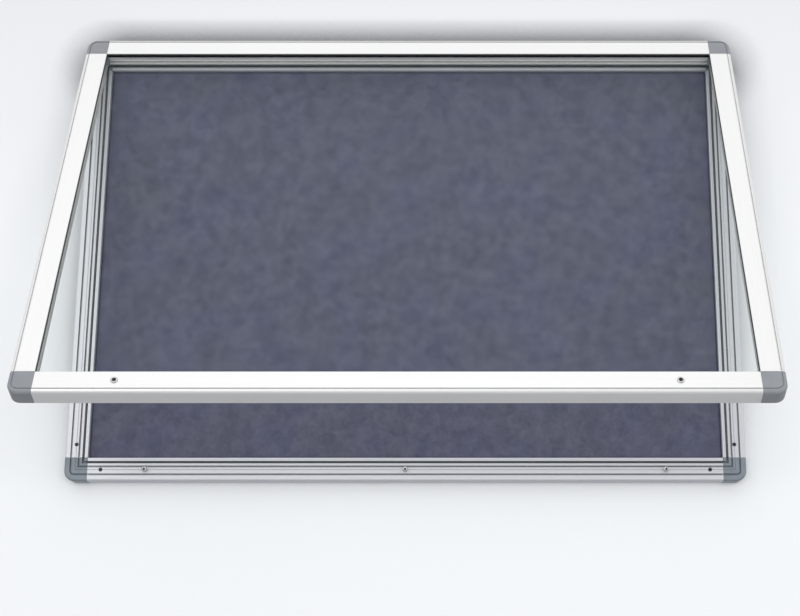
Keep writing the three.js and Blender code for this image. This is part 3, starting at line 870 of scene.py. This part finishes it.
def side_frame(index):
    """Quarter turns about Y after one about X, then out from the middle by half the other side's
    length. A rail starts from the middle of its side."""
    turn = Matrix.Rotation(-index * QUARTER, 4, "Y") @ Matrix.Rotation(QUARTER, 4, "X")
    half = side_lengths[(index + 1) % 4] / 2
    return turn @ Matrix.Translation((0, -half, 0))


def corner_frame(index):
    """The same for a corner, which starts from the near end of its side."""
    return side_frame(index) @ Matrix.Translation((-side_lengths[index] / 2, 0, 0))


leaf = (
    Matrix.Translation(hinge_place)
    @ Matrix.Rotation(-open_angle, 4, "X")
    @ Matrix.Translation((0, hinge_in_door, hinge_down - board_height / 2))
)
print("board, mm:", round(board_width, 2), round(board_height, 2), "case depth:", round(case_depth, 2))
print("door open by, degrees:", round(math.degrees(open_angle), 2))

# %% [markdown]
# ## Case rails
#
# From the outer edge inwards the rail's front has a flange with a round edge, a groove, a flat with a fine
# line on which it is drilled for the screws, a second groove, a rib, the slot that holds the rubber seal,
# and the lip round the felt. Behind it are a closed chamber for the corners' legs and a ledge for the
# panel and the board.

# %% The case rail's sizes
seat_gap = 0.3  # between pieces that are put together
overrun = 2.0  # how far a cutter reaches past what it cuts
flange_width = 7.9
groove_width = 2.4
flat_width = 8.9
rib_width = 3.5
seal_slot_width = 3.2
groove_depth = 2.2
mark_width = 1.0
mark_depth = 0.5
mark_radius = 0.1
seal_slot_depth = 3.6
case_wall = 1.8
case_face_wall = 3.8
case_box_width = 23.4
screw_line = 16.0
case_edge_radius = 3.0
lip_edge_radius = 0.8
ledge_width = 5.0
ledge_rear = 1.3
felt_front = 16.7
bead_radius = 3.0
neck_thickness = 1.6
edge = 0.25  # the radius that the die leaves on each outer edge
root = 0.15  # and in each inner corner

flat_start = flange_width + groove_width
groove_b_start = flat_start + flat_width
rib_start = groove_b_start + groove_width
seal_slot_start = rib_start + rib_width
lip_start = seal_slot_start + seal_slot_width
case_chamber_end = case_box_width - case_wall
print("the lip starts", round(lip_start, 2), "mm in and ends at", round(case_rail_width, 2))

# %% [markdown]
# The section is written as it is met on a walk from the outer edge inwards over the face, and back under
# the lip to the wall. Face and back are apart because the corners use the face alone.

# %% The case rail's section
def groove(start, width, top, depth):
    """The four corners of a groove, met from the outer edge inwards."""
    bottom = top - depth
    return [
        (start, top, edge),
        (start, bottom, root),
        (start + width, bottom, root),
        (start + width, top, edge),
    ]


drilling_mark = [
    (screw_line - mark_width / 2, case_depth, mark_radius),
    (screw_line, case_depth - mark_depth, mark_radius),
    (screw_line + mark_width / 2, case_depth, mark_radius),
]


def case_face():
    """The corners of the face, from the groove beside the flange to the back of the lip."""
    return [
        *groove(flange_width, groove_width, case_depth, groove_depth),
        *drilling_mark,
        *groove(groove_b_start, groove_width, case_depth, groove_depth),
        *groove(seal_slot_start, seal_slot_width, case_depth, seal_slot_depth),
        (case_rail_width, case_depth, lip_edge_radius),
        (case_rail_width, felt_front + seat_gap, edge),
    ]


def case_back():
    """The rest of a rail's section: under the lip, down to the ledge and out to the wall."""
    slot_bottom = case_depth - seal_slot_depth
    ledge_front = ledge_rear + case_wall
    ledge_end = case_box_width + ledge_width
    return [
        (case_rail_width - case_wall, felt_front + seat_gap, edge),
        (case_rail_width - case_wall, slot_bottom - case_wall, root),
        (case_box_width, slot_bottom - case_wall, root),
        (case_box_width, ledge_front, root),
        (ledge_end, ledge_front, edge),
        (ledge_end, ledge_rear, edge),
        (case_box_width, ledge_rear, root),
        (case_box_width, 0, edge),
    ]


def case_section(with_bead):
    """The plain section, or the top rail's with a round bead on a neck standing on its flange."""
    outer = [(0, 0, edge), (0, case_depth, case_edge_radius)]
    if not with_bead:
        return rounded([*outer, *case_face(), *case_back()])
    half_neck = neck_thickness / 2
    centre = (hinge_down, case_depth + hinge_out)
    neck_turn = math.asin(half_neck / bead_radius)
    bead = arc(centre, bead_radius, neck_turn - QUARTER, 3 * QUARTER - neck_turn)[::-1]
    after = (hinge_down + half_neck, case_depth, 0)
    before = (hinge_down - half_neck, case_depth, 0)
    rail = rounded([after, *case_face(), *case_back(), *outer, before], closed=False)
    return np.vstack([rail, bead])


print("points in the section:", len(case_section(False)), "with the bead:", len(case_section(True)))

# %% [markdown]
# Screws sit flush in the flat, so each hole is a cone with a bore below it. Their heads have the usual
# cross recess, and they stand a hair below the face, with a hair of air round them, as real ones do.

# %% Screws of the corners
screw_head_radius = 2.8
screw_shank_radius = 1.5
screw_length = 14.0
screw_tip = 2.0
screw_air = 0.12
leg_length = 38.0
screw_place = case_rail_width + leg_length / 2
screw_rim = 0.25  # the straight part of the head's edge
screw_break = 0.1  # and the broken edge above it
cross_width = 0.8
cross_reach = 1.7
cross_depth = 1.4
cross_foot_shares = (0.55, 0.7)  # of reach and width, at the foot of the recess


def countersunk(grow):
    """The screw's profile, larger all round by grow."""
    head_height = screw_head_radius - screw_shank_radius
    top = case_depth - screw_air
    return [
        (0, top - screw_length),
        (screw_shank_radius / 2 + grow, top - screw_length),
        (screw_shank_radius + grow, top - screw_length + screw_tip),
        (screw_shank_radius + grow, top - head_height - screw_rim),
        (screw_head_radius + grow, top - screw_rim),
    ]


def screw_hole(x):
    over = case_depth + overrun
    profile = [*countersunk(screw_air), (screw_head_radius + screw_air, over), (0, over)]
    return turned(profile).shifted(x, screw_line)


def cross_recess(top):
    """Two crossed slots whose walls lean in: each a prism whose foot is drawn towards the axis. The second
    has the first one's numbers for X and Y in the other order."""
    recess = []
    for order in (1, -1):
        reach_x, reach_y = (cross_reach, cross_width / 2)[::order]
        slot = prism(rectangle(-reach_x, reach_x, -reach_y, reach_y), top - cross_depth, top + overrun)
        slot.points[slot.points[:, 2] < top, :2] *= cross_foot_shares[::order]
        recess.append(slot)
    return recess


def corner_screw():
    top = case_depth - screw_air
    profile = [*countersunk(0), (screw_head_radius - screw_break, top), (0, top)]
    return turned(profile), cross_recess(top)


for index, side in enumerate(SIDES):
    half = side_lengths[index] / 2
    for end, sign in (("start", -1), ("end", 1)):
        solid, recess = corner_screw()
        at = side_frame(index) @ Matrix.Translation((sign * (half - screw_place), screw_line, 0))
        piece(f"corner_screw_{side}_{end}", cut_from(solid, recess, at), dark_steel)
print("corner screws:", 2 * len(SIDES))

# %% [markdown]
# Each rail is its section carried straight along X. The chamber, the screw holes and, at the bottom, the
# holes for the studs are cut afterwards.

# %% Case rails
stud_shank_radius = 2.1
stud_head_radius = 3.8
stud_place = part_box("keeper_stud_right")[1].x / MM - stud_head_radius
stud_places = (-stud_place, 0.0, stud_place)


def case_rail_length(index):
    return side_lengths[index] - 2 * (case_rail_width + seat_gap)


def case_rail(index):
    length = case_rail_length(index)
    rail = bar(case_section(with_bead=SIDES[index] == "top"), length)
    hollow = rectangle(case_wall, case_chamber_end, case_wall, case_depth - case_face_wall)
    chamber = bar(hollow, length + 2 * overrun)
    screw_x = side_lengths[index] / 2 - screw_place
    holes = screw_hole(-screw_x) + screw_hole(screw_x)
    if SIDES[index] == "bottom":
        inner = case_depth - case_face_wall - overrun
        for x in stud_places:
            hole = rod(stud_shank_radius + screw_air, inner, case_depth + overrun)
            holes = holes + hole.shifted(x, screw_line)
    return cut_from(rail, [chamber, holes], side_frame(index))


for index, side in enumerate(SIDES):
    made = piece(f"case_rail_{side}", case_rail(index), case_aluminium)
    print(made.name, len(made.data.polygons), "faces")

# %% [markdown]
# ## Corners of the case
#
# A corner carries the rail's face round the bend. Every line of the section follows the corner at its own
# distance from the edge: outside the bend's centre as an arc, inside it as a square turn. So the grid's
# path has two straight stretches and a bend between them, whose radius shrinks with that distance.

# %% A section carried round a corner
corner_radius = 15.0
bend_steps = 28
leg_taper = 3.0


def carried_round(section, size):
    """Section (inset, height) round a corner. For inset u the bend's radius is the corner's less u, or 0
    once that is negative, and its centre lies at u plus that radius on both axes."""
    inset, height = section[:, 0], section[:, 1]
    radius = np.maximum(corner_radius - inset, 0)
    centre = inset + radius
    angle = np.linspace(2 * QUARTER, 3 * QUARTER, bend_steps + 1)[:, None]
    full = np.full_like(inset, size)
    x = np.vstack([inset, centre + radius * np.cos(angle), full])
    y = np.vstack([full, centre + radius * np.sin(angle), inset])
    return grid_solid(np.stack([x, y, np.broadcast_to(height, x.shape)], axis=2))


def corner_legs(size, low, high, rear, front):
    """Two flat legs with tapered ends, one along each rail, from just inside the block."""
    start, end = size - overrun, size + leg_length
    low, high = low + seat_gap, high - seat_gap
    outline = rounded(
        [
            (start, low, 0),
            (end - leg_taper, low, edge),
            (end, low + leg_taper, edge),
            (end, high - leg_taper, edge),
            (end - leg_taper, high, edge),
            (start, high, 0),
        ]
    )
    span = (rear + seat_gap, front - seat_gap)
    return [prism(outline, *span), prism(outline[::-1, ::-1], *span)]


def case_corner(index):
    corners = [(0, 0, edge), (0, case_depth, case_edge_radius), *case_face()]
    corners += [(case_box_width, felt_front + seat_gap, root), (case_box_width, 0, edge)]
    block = carried_round(rounded(corners), case_rail_width)
    front = case_depth - case_face_wall
    legs = corner_legs(case_rail_width, case_wall, case_chamber_end, case_wall, front)
    bore = rod(screw_shank_radius + screw_air, -overrun, case_depth + overrun)
    bores = bore.shifted(screw_place, screw_line) + bore.shifted(screw_line, screw_place)
    return cut_from(block, [bores], corner_frame(index), added=legs)


for index, corner in enumerate(CORNERS):
    made = piece(f"case_corner_{corner}", case_corner(index), case_plastic)
    print(made.name, len(made.data.polygons), "faces")

# %% [markdown]
# ## Seal
#
# A strip of soft rubber with a round crown fills the slot along each case rail and stands proud of the face
# by about a millimetre. The shut door presses on it. It is a section carried along the rail.

# %% Seal strips
seal_crown = 1.2


def case_seal(index):
    foot = case_depth - seal_slot_depth + seat_gap
    left = seal_slot_start + seat_gap
    right = lip_start - seat_gap
    radius = (right - left) / 2
    crown = arc((left + radius, case_depth + seal_crown - radius), radius, 0, 2 * QUARTER, nose_steps)
    outline = np.vstack([[(left, foot), (right, foot)], crown])
    return mesh_of(bar(outline, case_rail_length(index)), side_frame(index))


for index, side in enumerate(SIDES):
    piece(f"case_seal_{side}", case_seal(index), seal_rubber)
print("seal strips:", len(SIDES))

# %% [markdown]
# ## Studs
#
# Three pan-headed studs stand on the bottom rail. The outer two are what the lock cams catch behind. A head
# is turned: a short rim, then a dome that is a quarter of an ellipse. A hexagon socket is cut into it.

# %% Studs
stud_head_height = 2.5
stud_rim_height = 0.75
stud_stand_off = 4.5
stud_tail_radius = 3.4
stud_tail_height = 1.2
socket_corner_radius = 1.9
socket_depth = 1.8


def stud(x):
    under = case_depth + stud_stand_off
    top = under + stud_head_height
    tail_top = case_depth - case_face_wall - seat_gap
    dome = arc((0, 0), 1, 0, QUARTER, nose_steps) * (stud_head_radius, stud_head_height - stud_rim_height)
    dome = dome + (0, under + stud_rim_height)
    profile = [
        (0, tail_top - stud_tail_height),
        (stud_tail_radius, tail_top - stud_tail_height),
        (stud_tail_radius, tail_top),
        (stud_shank_radius, tail_top),
        (stud_shank_radius, under),
        (stud_head_radius - edge, under),
        (stud_head_radius, under + edge),
        *dome[:-1],
        (0, top),
    ]
    hexagon = arc((0, 0), socket_corner_radius, 0, 4 * QUARTER, steps=6)[:-1]
    socket = prism(hexagon, top - socket_depth, top + overrun)
    return cut_from(turned(profile), [socket], side_frame(0) @ Matrix.Translation((x, screw_line, 0)))


for name, x in zip(("keeper_stud_left", "middle_stud", "keeper_stud_right"), stud_places):
    piece(name, stud(x), bright_steel)
print("studs at, mm:", [round(x, 1) for x in stud_places])

# %% [markdown]
# ## Felt, board and panel
#
# The felt is one sheet, glued tight over the board, and its edges go under the case's lips. A flat box
# would catch light like card, so its front is a grid that sinks by about a tenth of a millimetre where the
# mat is thin. The dips are random numbers on a coarse grid, smoothed between its points.

# %% Felt facing
felt_step = 4.0  # the grid's spacing, mm
dip_depth = 0.12
dip_spacing = 22.0


def smooth_noise(shape, cells, seed):
    """Random heights 0 to 1 on a coarse grid, blended between its points by 3t squared less 2t cubed."""
    heights = np.random.default_rng(seed).random((cells[0] + 2, cells[1] + 2))
    at = [np.linspace(0, cells[k], shape[k]) for k in (0, 1)]
    whole = [x.astype(int) for x in at]
    part = [(x - w) ** 2 * (3 - 2 * (x - w)) for x, w in zip(at, whole)]
    i, j = np.meshgrid(*whole, indexing="ij")
    s, t = np.meshgrid(*part, indexing="ij")
    low = heights[i, j] * (1 - s) + heights[i + 1, j] * s
    high = heights[i, j + 1] * (1 - s) + heights[i + 1, j + 1] * s
    return low * (1 - t) + high * t


def felt_sheet():
    """Front and rear grids of the same size, joined round the edge: the outline of each row goes across
    the front and back across the rear."""
    low, high = (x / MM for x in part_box("felt_facing"))
    width, height = high.x - low.x, high.z - low.z
    counts = [int(size / felt_step) for size in (width, height)]
    x = np.linspace(low.x, high.x, counts[0])
    z = np.linspace(low.z, high.z, counts[1])
    cells = [int(size / dip_spacing) for size in (width, height)]
    fine_cells = [4 * count for count in cells]
    dips = smooth_noise(counts, cells, seed=4) * 0.7 + smooth_noise(counts, fine_cells, seed=9) * 0.3
    grid_x, grid_z = np.meshgrid(x, z, indexing="ij")
    front = np.stack([grid_x, low.y + dips * dip_depth, grid_z], axis=2)
    rear = np.stack([grid_x, np.full_like(grid_x, high.y), grid_z], axis=2)
    felt = grid_solid(np.concatenate([front, rear[:, ::-1]], axis=1))
    return mesh_of(felt), (width * MM, height * MM)


felt_mesh, felt_size = felt_sheet()
felt = piece("felt_facing", felt_mesh, grey_felt)
print("felt, metres:", [round(x, 4) for x in felt_size], "with", len(felt.data.polygons), "faces")

# %% [markdown]
# The pin board and the back panel are plain sheets that keep the shape of the construction model, and only
# get their finish. What nobody sees without taking the board apart is left as the construction model has it.

# %% Sheets that keep their shape
def refinish(node, material):
    """Puts a finish on a node of the construction model, in place of its own."""
    mesh = frame["nodes"][node].data
    mesh.materials.clear()
    mesh.materials.append(material)


refinish("pin_board", fibre_board)
refinish("back_panel", galvanised_steel)

# %% [markdown]
# ## Door rails
#
# The door's rails are plainer and paler. A flat face ends in a fine crease and a generous round edge
# outside, and in a thin lip over the glass inside. The rear is an open channel, in which the studs and the
# cams find room. The top rail swaps its outer wall for a socket that wraps the case's bead.

# %% The door rail's sizes
door_edge_radius = 5.0
door_face_width = 27.0
door_depth = 23.5
door_wall = 1.6
crease_width = 1.6
crease_depth = 0.9
crease_radius = 0.15  # of its rim at the round edge
crease_face_radius = 0.2  # and at the flat face
door_lip_radius = 0.8
glazing_slot_depth = 6.5
channel_depth = 8.3
inner_leg_setback = 2.0
socket_wall = 1.3
running_gap = 0.3
gasket_thickness = 1.6
gasket_show = 1.0  # how far a front gasket stands out past the lip
glass_thickness = 4.0
door_rail_width = door_edge_radius + door_face_width
slot_start = door_rail_width - glazing_slot_depth
door_chamber_end = slot_start - door_wall
lip_rear = door_depth - door_wall
front_gasket_rear = lip_rear - seat_gap - gasket_thickness
glass_rear = front_gasket_rear - seat_gap - glass_thickness
rear_gasket_rear = glass_rear - seat_gap - gasket_thickness
slot_rear = rear_gasket_rear - seat_gap
inner_leg_end = door_rail_width - inner_leg_setback
socket_bore = bead_radius + running_gap
socket_radius = socket_bore + socket_wall
mouth_half = neck_thickness / 2 + running_gap
print("the pane lies between", round(glass_rear, 2), "and", round(glass_rear + glass_thickness, 2), "mm")

# %% [markdown]
# Again the section is a walk: up the round outer edge, over the face to the lip, back through the slot for
# the glass and along the channel. On the top rail the walk ends round the socket, outside first.

# %% The door rail's section
round_edge_steps = 18


def door_face():
    """The corners of the door's face, from the crease beside the round edge to the lip over the glass."""
    return [
        (door_edge_radius, door_depth, crease_radius),
        (door_edge_radius, door_depth - crease_depth, root),
        (door_edge_radius + crease_width, door_depth - crease_depth, root),
        (door_edge_radius + crease_width, door_depth, crease_face_radius),
        (door_rail_width, door_depth, door_lip_radius),
        (door_rail_width, lip_rear, edge),
        (slot_start, lip_rear, root),
        (slot_start, slot_rear, root),
    ]


def door_back():
    """The inner leg and the floor of the channel."""
    return [
        (inner_leg_end, slot_rear, edge),
        (inner_leg_end, slot_rear - door_wall, edge),
        (slot_start, slot_rear - door_wall, root),
        (slot_start, door_wall, root),
        (inner_leg_end, door_wall, edge),
        (inner_leg_end, 0, edge),
        (door_chamber_end, 0, edge),
        (door_chamber_end, channel_depth, root),
    ]


def round_edge(from_height=0.0):
    """The outer wall and its round edge, up to the crease. The edge ends a little below the face."""
    centre = (door_edge_radius, door_depth - door_edge_radius)
    bend = arc(centre, door_edge_radius, 2 * QUARTER, QUARTER, round_edge_steps)
    return np.vstack([[(0, from_height)], bend[:-1]])


def plain_door_section():
    foot = [(door_wall, channel_depth, root), (door_wall, 0, edge), (0, 0, edge)]
    rest = rounded([(0, door_depth, 0), *door_face(), *door_back(), *foot], closed=False)
    return np.vstack([round_edge(edge), rest[1:-1], [(edge, 0)]])


def hinged_door_section():
    """The round edge, the face and the channel, then the socket's outside and back along its bore."""
    axis = (hinge_down, hinge_in_door)
    outer_turn = math.asin(mouth_half / socket_radius)
    inner_turn = math.asin(mouth_half / socket_bore)
    floor_end = (hinge_down + socket_radius, channel_depth, 0)
    rest = rounded([(0, door_depth, 0), *door_face(), *door_back(), floor_end], closed=False)[1:]
    outside = arc(axis, socket_radius, 0, outer_turn - QUARTER)
    bore = arc(axis, socket_bore, inner_turn - QUARTER, 2 * QUARTER - inner_turn)
    return np.vstack([round_edge(hinge_in_door + mouth_half), rest, outside, bore])


print("points in the section:", len(plain_door_section()), "with the socket:", len(hinged_door_section()))

# %% [markdown]
# Two round holes in the bottom rail take the locks. They go through the face and the channel's floor.

# %% Door rails
plug_radius = 2.5
barrel_wall = 0.7
barrel_radius = plug_radius + running_gap + barrel_wall
lock_line = door_edge_radius + door_face_width / 2
lock_joints = [joint for joint in frame["joints"] if joint["name"].startswith("lock")]
lock_places = sorted(joint["pos_m"][0] / MM for joint in lock_joints)


def door_rail(index):
    length = side_lengths[index] - 2 * (door_rail_width + seat_gap)
    section = hinged_door_section() if SIDES[index] == "top" else plain_door_section()
    hollow = rectangle(door_wall, door_chamber_end, channel_depth + door_wall, lip_rear)
    cutters = [bar(hollow, length + 2 * overrun)]
    if SIDES[index] == "bottom":
        hole = rod(barrel_radius + screw_air, channel_depth - overrun, door_depth + overrun)
        cutters += [hole.shifted(x, lock_line) for x in lock_places]
    return cut_from(bar(section, length), cutters, leaf @ side_frame(index))


for index, side in enumerate(SIDES):
    made = piece(f"door_rail_{side}", door_rail(index), door_aluminium)
    print(made.name, len(made.data.polygons), "faces")

# %% [markdown]
# ## Corners of the door
#
# The same sweep makes the door's corners, with the crease carried round the bend. At the top a corner also
# loses the edge next to the case, in a quarter round about the hinge, so that it rolls clear.

# %% Door corners
def hinge_relief():
    """What is cut away between the rear edge and a quarter round about the hinge axis."""
    far = -overrun
    bend = arc((hinge_down, hinge_in_door), socket_radius, 3 * QUARTER, 2 * QUARTER)
    return np.vstack([[(far, far), (hinge_down, far)], bend, [(far, hinge_in_door)]])


def door_corner(index):
    corners = [*door_face(), (door_rail_width, slot_rear, edge), (door_rail_width, 0, edge)]
    rest = rounded([(0, door_depth, 0), *corners, (0, 0, edge)], closed=False)[1:-1]
    block = carried_round(np.vstack([round_edge(edge), rest, [(edge, 0)]]), door_rail_width)
    legs = corner_legs(door_rail_width, door_wall, door_chamber_end, channel_depth + door_wall, lip_rear)
    reach = 2 * (door_rail_width + overrun)
    relief = prism(hinge_relief(), -reach / 2, reach / 2)
    cutters = {"top_right": [relief.along_x()], "top_left": [relief.along_y()]}.get(CORNERS[index], [])
    return cut_from(block, cutters, leaf @ corner_frame(index), added=legs)


for index, corner in enumerate(CORNERS):
    made = piece(f"door_corner_{corner}", door_corner(index), door_plastic)
    print(made.name, len(made.data.polygons), "faces")

# %% [markdown]
# ## Glazing
#
# The pane sits between two rubber gaskets in the rails' slots. Gaskets are strips with a round nose that
# touch the glass and show as a thin black line inside the frame. The pane's edges are ground.

# %% Gaskets and pane
glass_clearance = 0.7
ground_edge = 0.6


def bevelled(mesh, width, least_angle=math.radians(30)):
    """The mesh with each edge that is sharper than an angle broken by a bevel, its width in millimetres."""
    made = shown(mesh)
    bevel = made.modifiers.new("broken edges", "BEVEL")
    bevel.width = width * MM
    bevel.segments = 2
    bevel.limit_method = "ANGLE"
    bevel.angle_limit = least_angle
    mesh = settle(made).data
    bpy.data.objects.remove(made)
    return mesh


def gasket(index, rear, end):
    length = side_lengths[index] - 2 * (max(end, door_rail_width) + seat_gap)
    start = slot_start + glass_clearance
    nose = gasket_thickness / 2
    tip = arc((end - nose, rear + nose), nose, -QUARTER, QUARTER, nose_steps)
    outline = np.vstack([[(start, rear)], tip, [(start, rear + gasket_thickness)]])
    return mesh_of(bar(outline, length), leaf @ side_frame(index))


def pane():
    """A sheet whose outline is the section through its thickness, with its edges ground."""
    border = slot_start + glass_clearance
    half_height = board_height / 2 - border
    section = rectangle(-half_height, half_height, -glass_rear - glass_thickness, -glass_rear)
    sheet = bar(section, board_width - 2 * border)
    sheet.points[:, [1, 2]] = sheet.points[:, [2, 1]]
    return bevelled(mesh_of(sheet, leaf), ground_edge)


for index, side in enumerate(SIDES):
    front_strip = gasket(index, front_gasket_rear, door_rail_width + gasket_show)
    rear_strip = gasket(index, rear_gasket_rear, inner_leg_end)
    piece(f"front_gasket_{side}", front_strip, gasket_rubber)
    piece(f"rear_gasket_{side}", rear_strip, gasket_rubber)
glass = piece("glass_pane", pane(), clear_glass)
print("pane has", len(glass.data.polygons), "faces")

# %% [markdown]
# ## Locks
#
# A lock is a threaded barrel held by a nut, with a plug inside that turns the cam behind the rail. The
# front shows a low bevelled collar, a ring of shadow and the dark plug with its key slot.

# %% Locks
bezel_lip = 1.3
bezel_height = 0.9
plug_sink = 0.3
key_slot_width = 0.9
key_slot_length = 3.4
key_slot_depth = 3.0
barrel_steps = 72
nut_height = 2.4
bezel_rear = door_depth + seat_gap
bezel_front = bezel_rear + bezel_height
barrel_rear = channel_depth - seat_gap - nut_height
cam_front = stud_stand_off - door_gap - seat_gap
plug_rear = cam_front + seat_gap


def lock_barrel():
    """Barrel and collar, with thread rings on the barrel by a triangle wave along its length."""
    pitch, thread = 0.5, 0.14
    lean = 0.15  # how far the collar's side leans in over half its height
    crest_width, crest_drop = 0.2, 0.08
    height = np.arange(barrel_rear + pitch, bezel_rear - 3 * pitch, pitch / 2)
    ridge = barrel_radius - thread * (np.arange(len(height)) % 2)
    collar = barrel_radius + bezel_lip
    profile = [
        (0, barrel_rear),
        (barrel_radius - thread, barrel_rear),
        *np.stack([ridge, height], axis=1),
        (barrel_radius, bezel_rear - pitch),
        (barrel_radius, bezel_rear),
        (collar - edge, bezel_rear),
        (collar, bezel_rear + edge / 2),
        (collar - lean, bezel_rear + bezel_height / 2),
        (collar - bezel_lip / 2, bezel_front - crest_drop),
        (collar - bezel_lip / 2 - crest_width, bezel_front),
        (0, bezel_front),
    ]
    bore = rod(plug_radius + running_gap, barrel_rear - overrun, bezel_front + overrun)
    return turned(profile, barrel_steps), [bore]


def lock_plug():
    """A plug with a broken edge and a key slot."""
    front = bezel_front - plug_sink
    profile = [
        (0, plug_rear),
        (plug_radius, plug_rear),
        (plug_radius, front - edge),
        (plug_radius - edge, front),
        (0, front),
    ]
    across, along = key_slot_width / 2, key_slot_length / 2
    slot = prism(rectangle(-across, across, -along, along), front - key_slot_depth, front + overrun)
    return turned(profile), [slot]


for name, x in zip(("left", "right"), lock_places):
    place = leaf @ side_frame(0) @ Matrix.Translation((x, lock_line, 0))
    piece(f"lock_barrel_{name}", cut_from(*lock_barrel(), place), bright_steel)
    piece(f"lock_plug_{name}", cut_from(*lock_plug(), place), dark_steel)
print("locks at, mm:", [round(x, 2) for x in lock_places])

# %% [markdown]
# Nut, cam and cam screw have the right shape in the construction model. They are stamped or turned parts
# with broken edges, so a copy of each is merged, its flat faces are joined, and a small bevel goes round.

# %% Small hardware with broken edges
copy_merge_distance = 1e-6  # metres
flat_angle = math.radians(1)
sharp_angle = math.radians(40)
edge_breaks = {"lock_nut": 0.2, "lock_cam": 0.25, "cam_screw": 0.12}


def with_broken_edges(node, width):
    """A merged copy of a node's mesh, with each sharp edge bevelled by width in millimetres."""
    mesh = frame["nodes"][node].data.copy()
    work = bmesh.new()
    work.from_mesh(mesh)
    bmesh.ops.remove_doubles(work, verts=work.verts, dist=copy_merge_distance)
    flat = {"verts": work.verts, "edges": work.edges, "delimit": {"NORMAL"}}
    bmesh.ops.dissolve_limit(work, angle_limit=flat_angle, **flat)
    work.to_mesh(mesh)
    work.free()
    return bevelled(mesh, width, sharp_angle)


for kind, width in edge_breaks.items():
    for name in ("left", "right"):
        node = f"{kind}_{name}"
        piece(node, with_broken_edges(node, width), bright_steel)
print("broken edges on", 2 * len(edge_breaks), "small pieces")
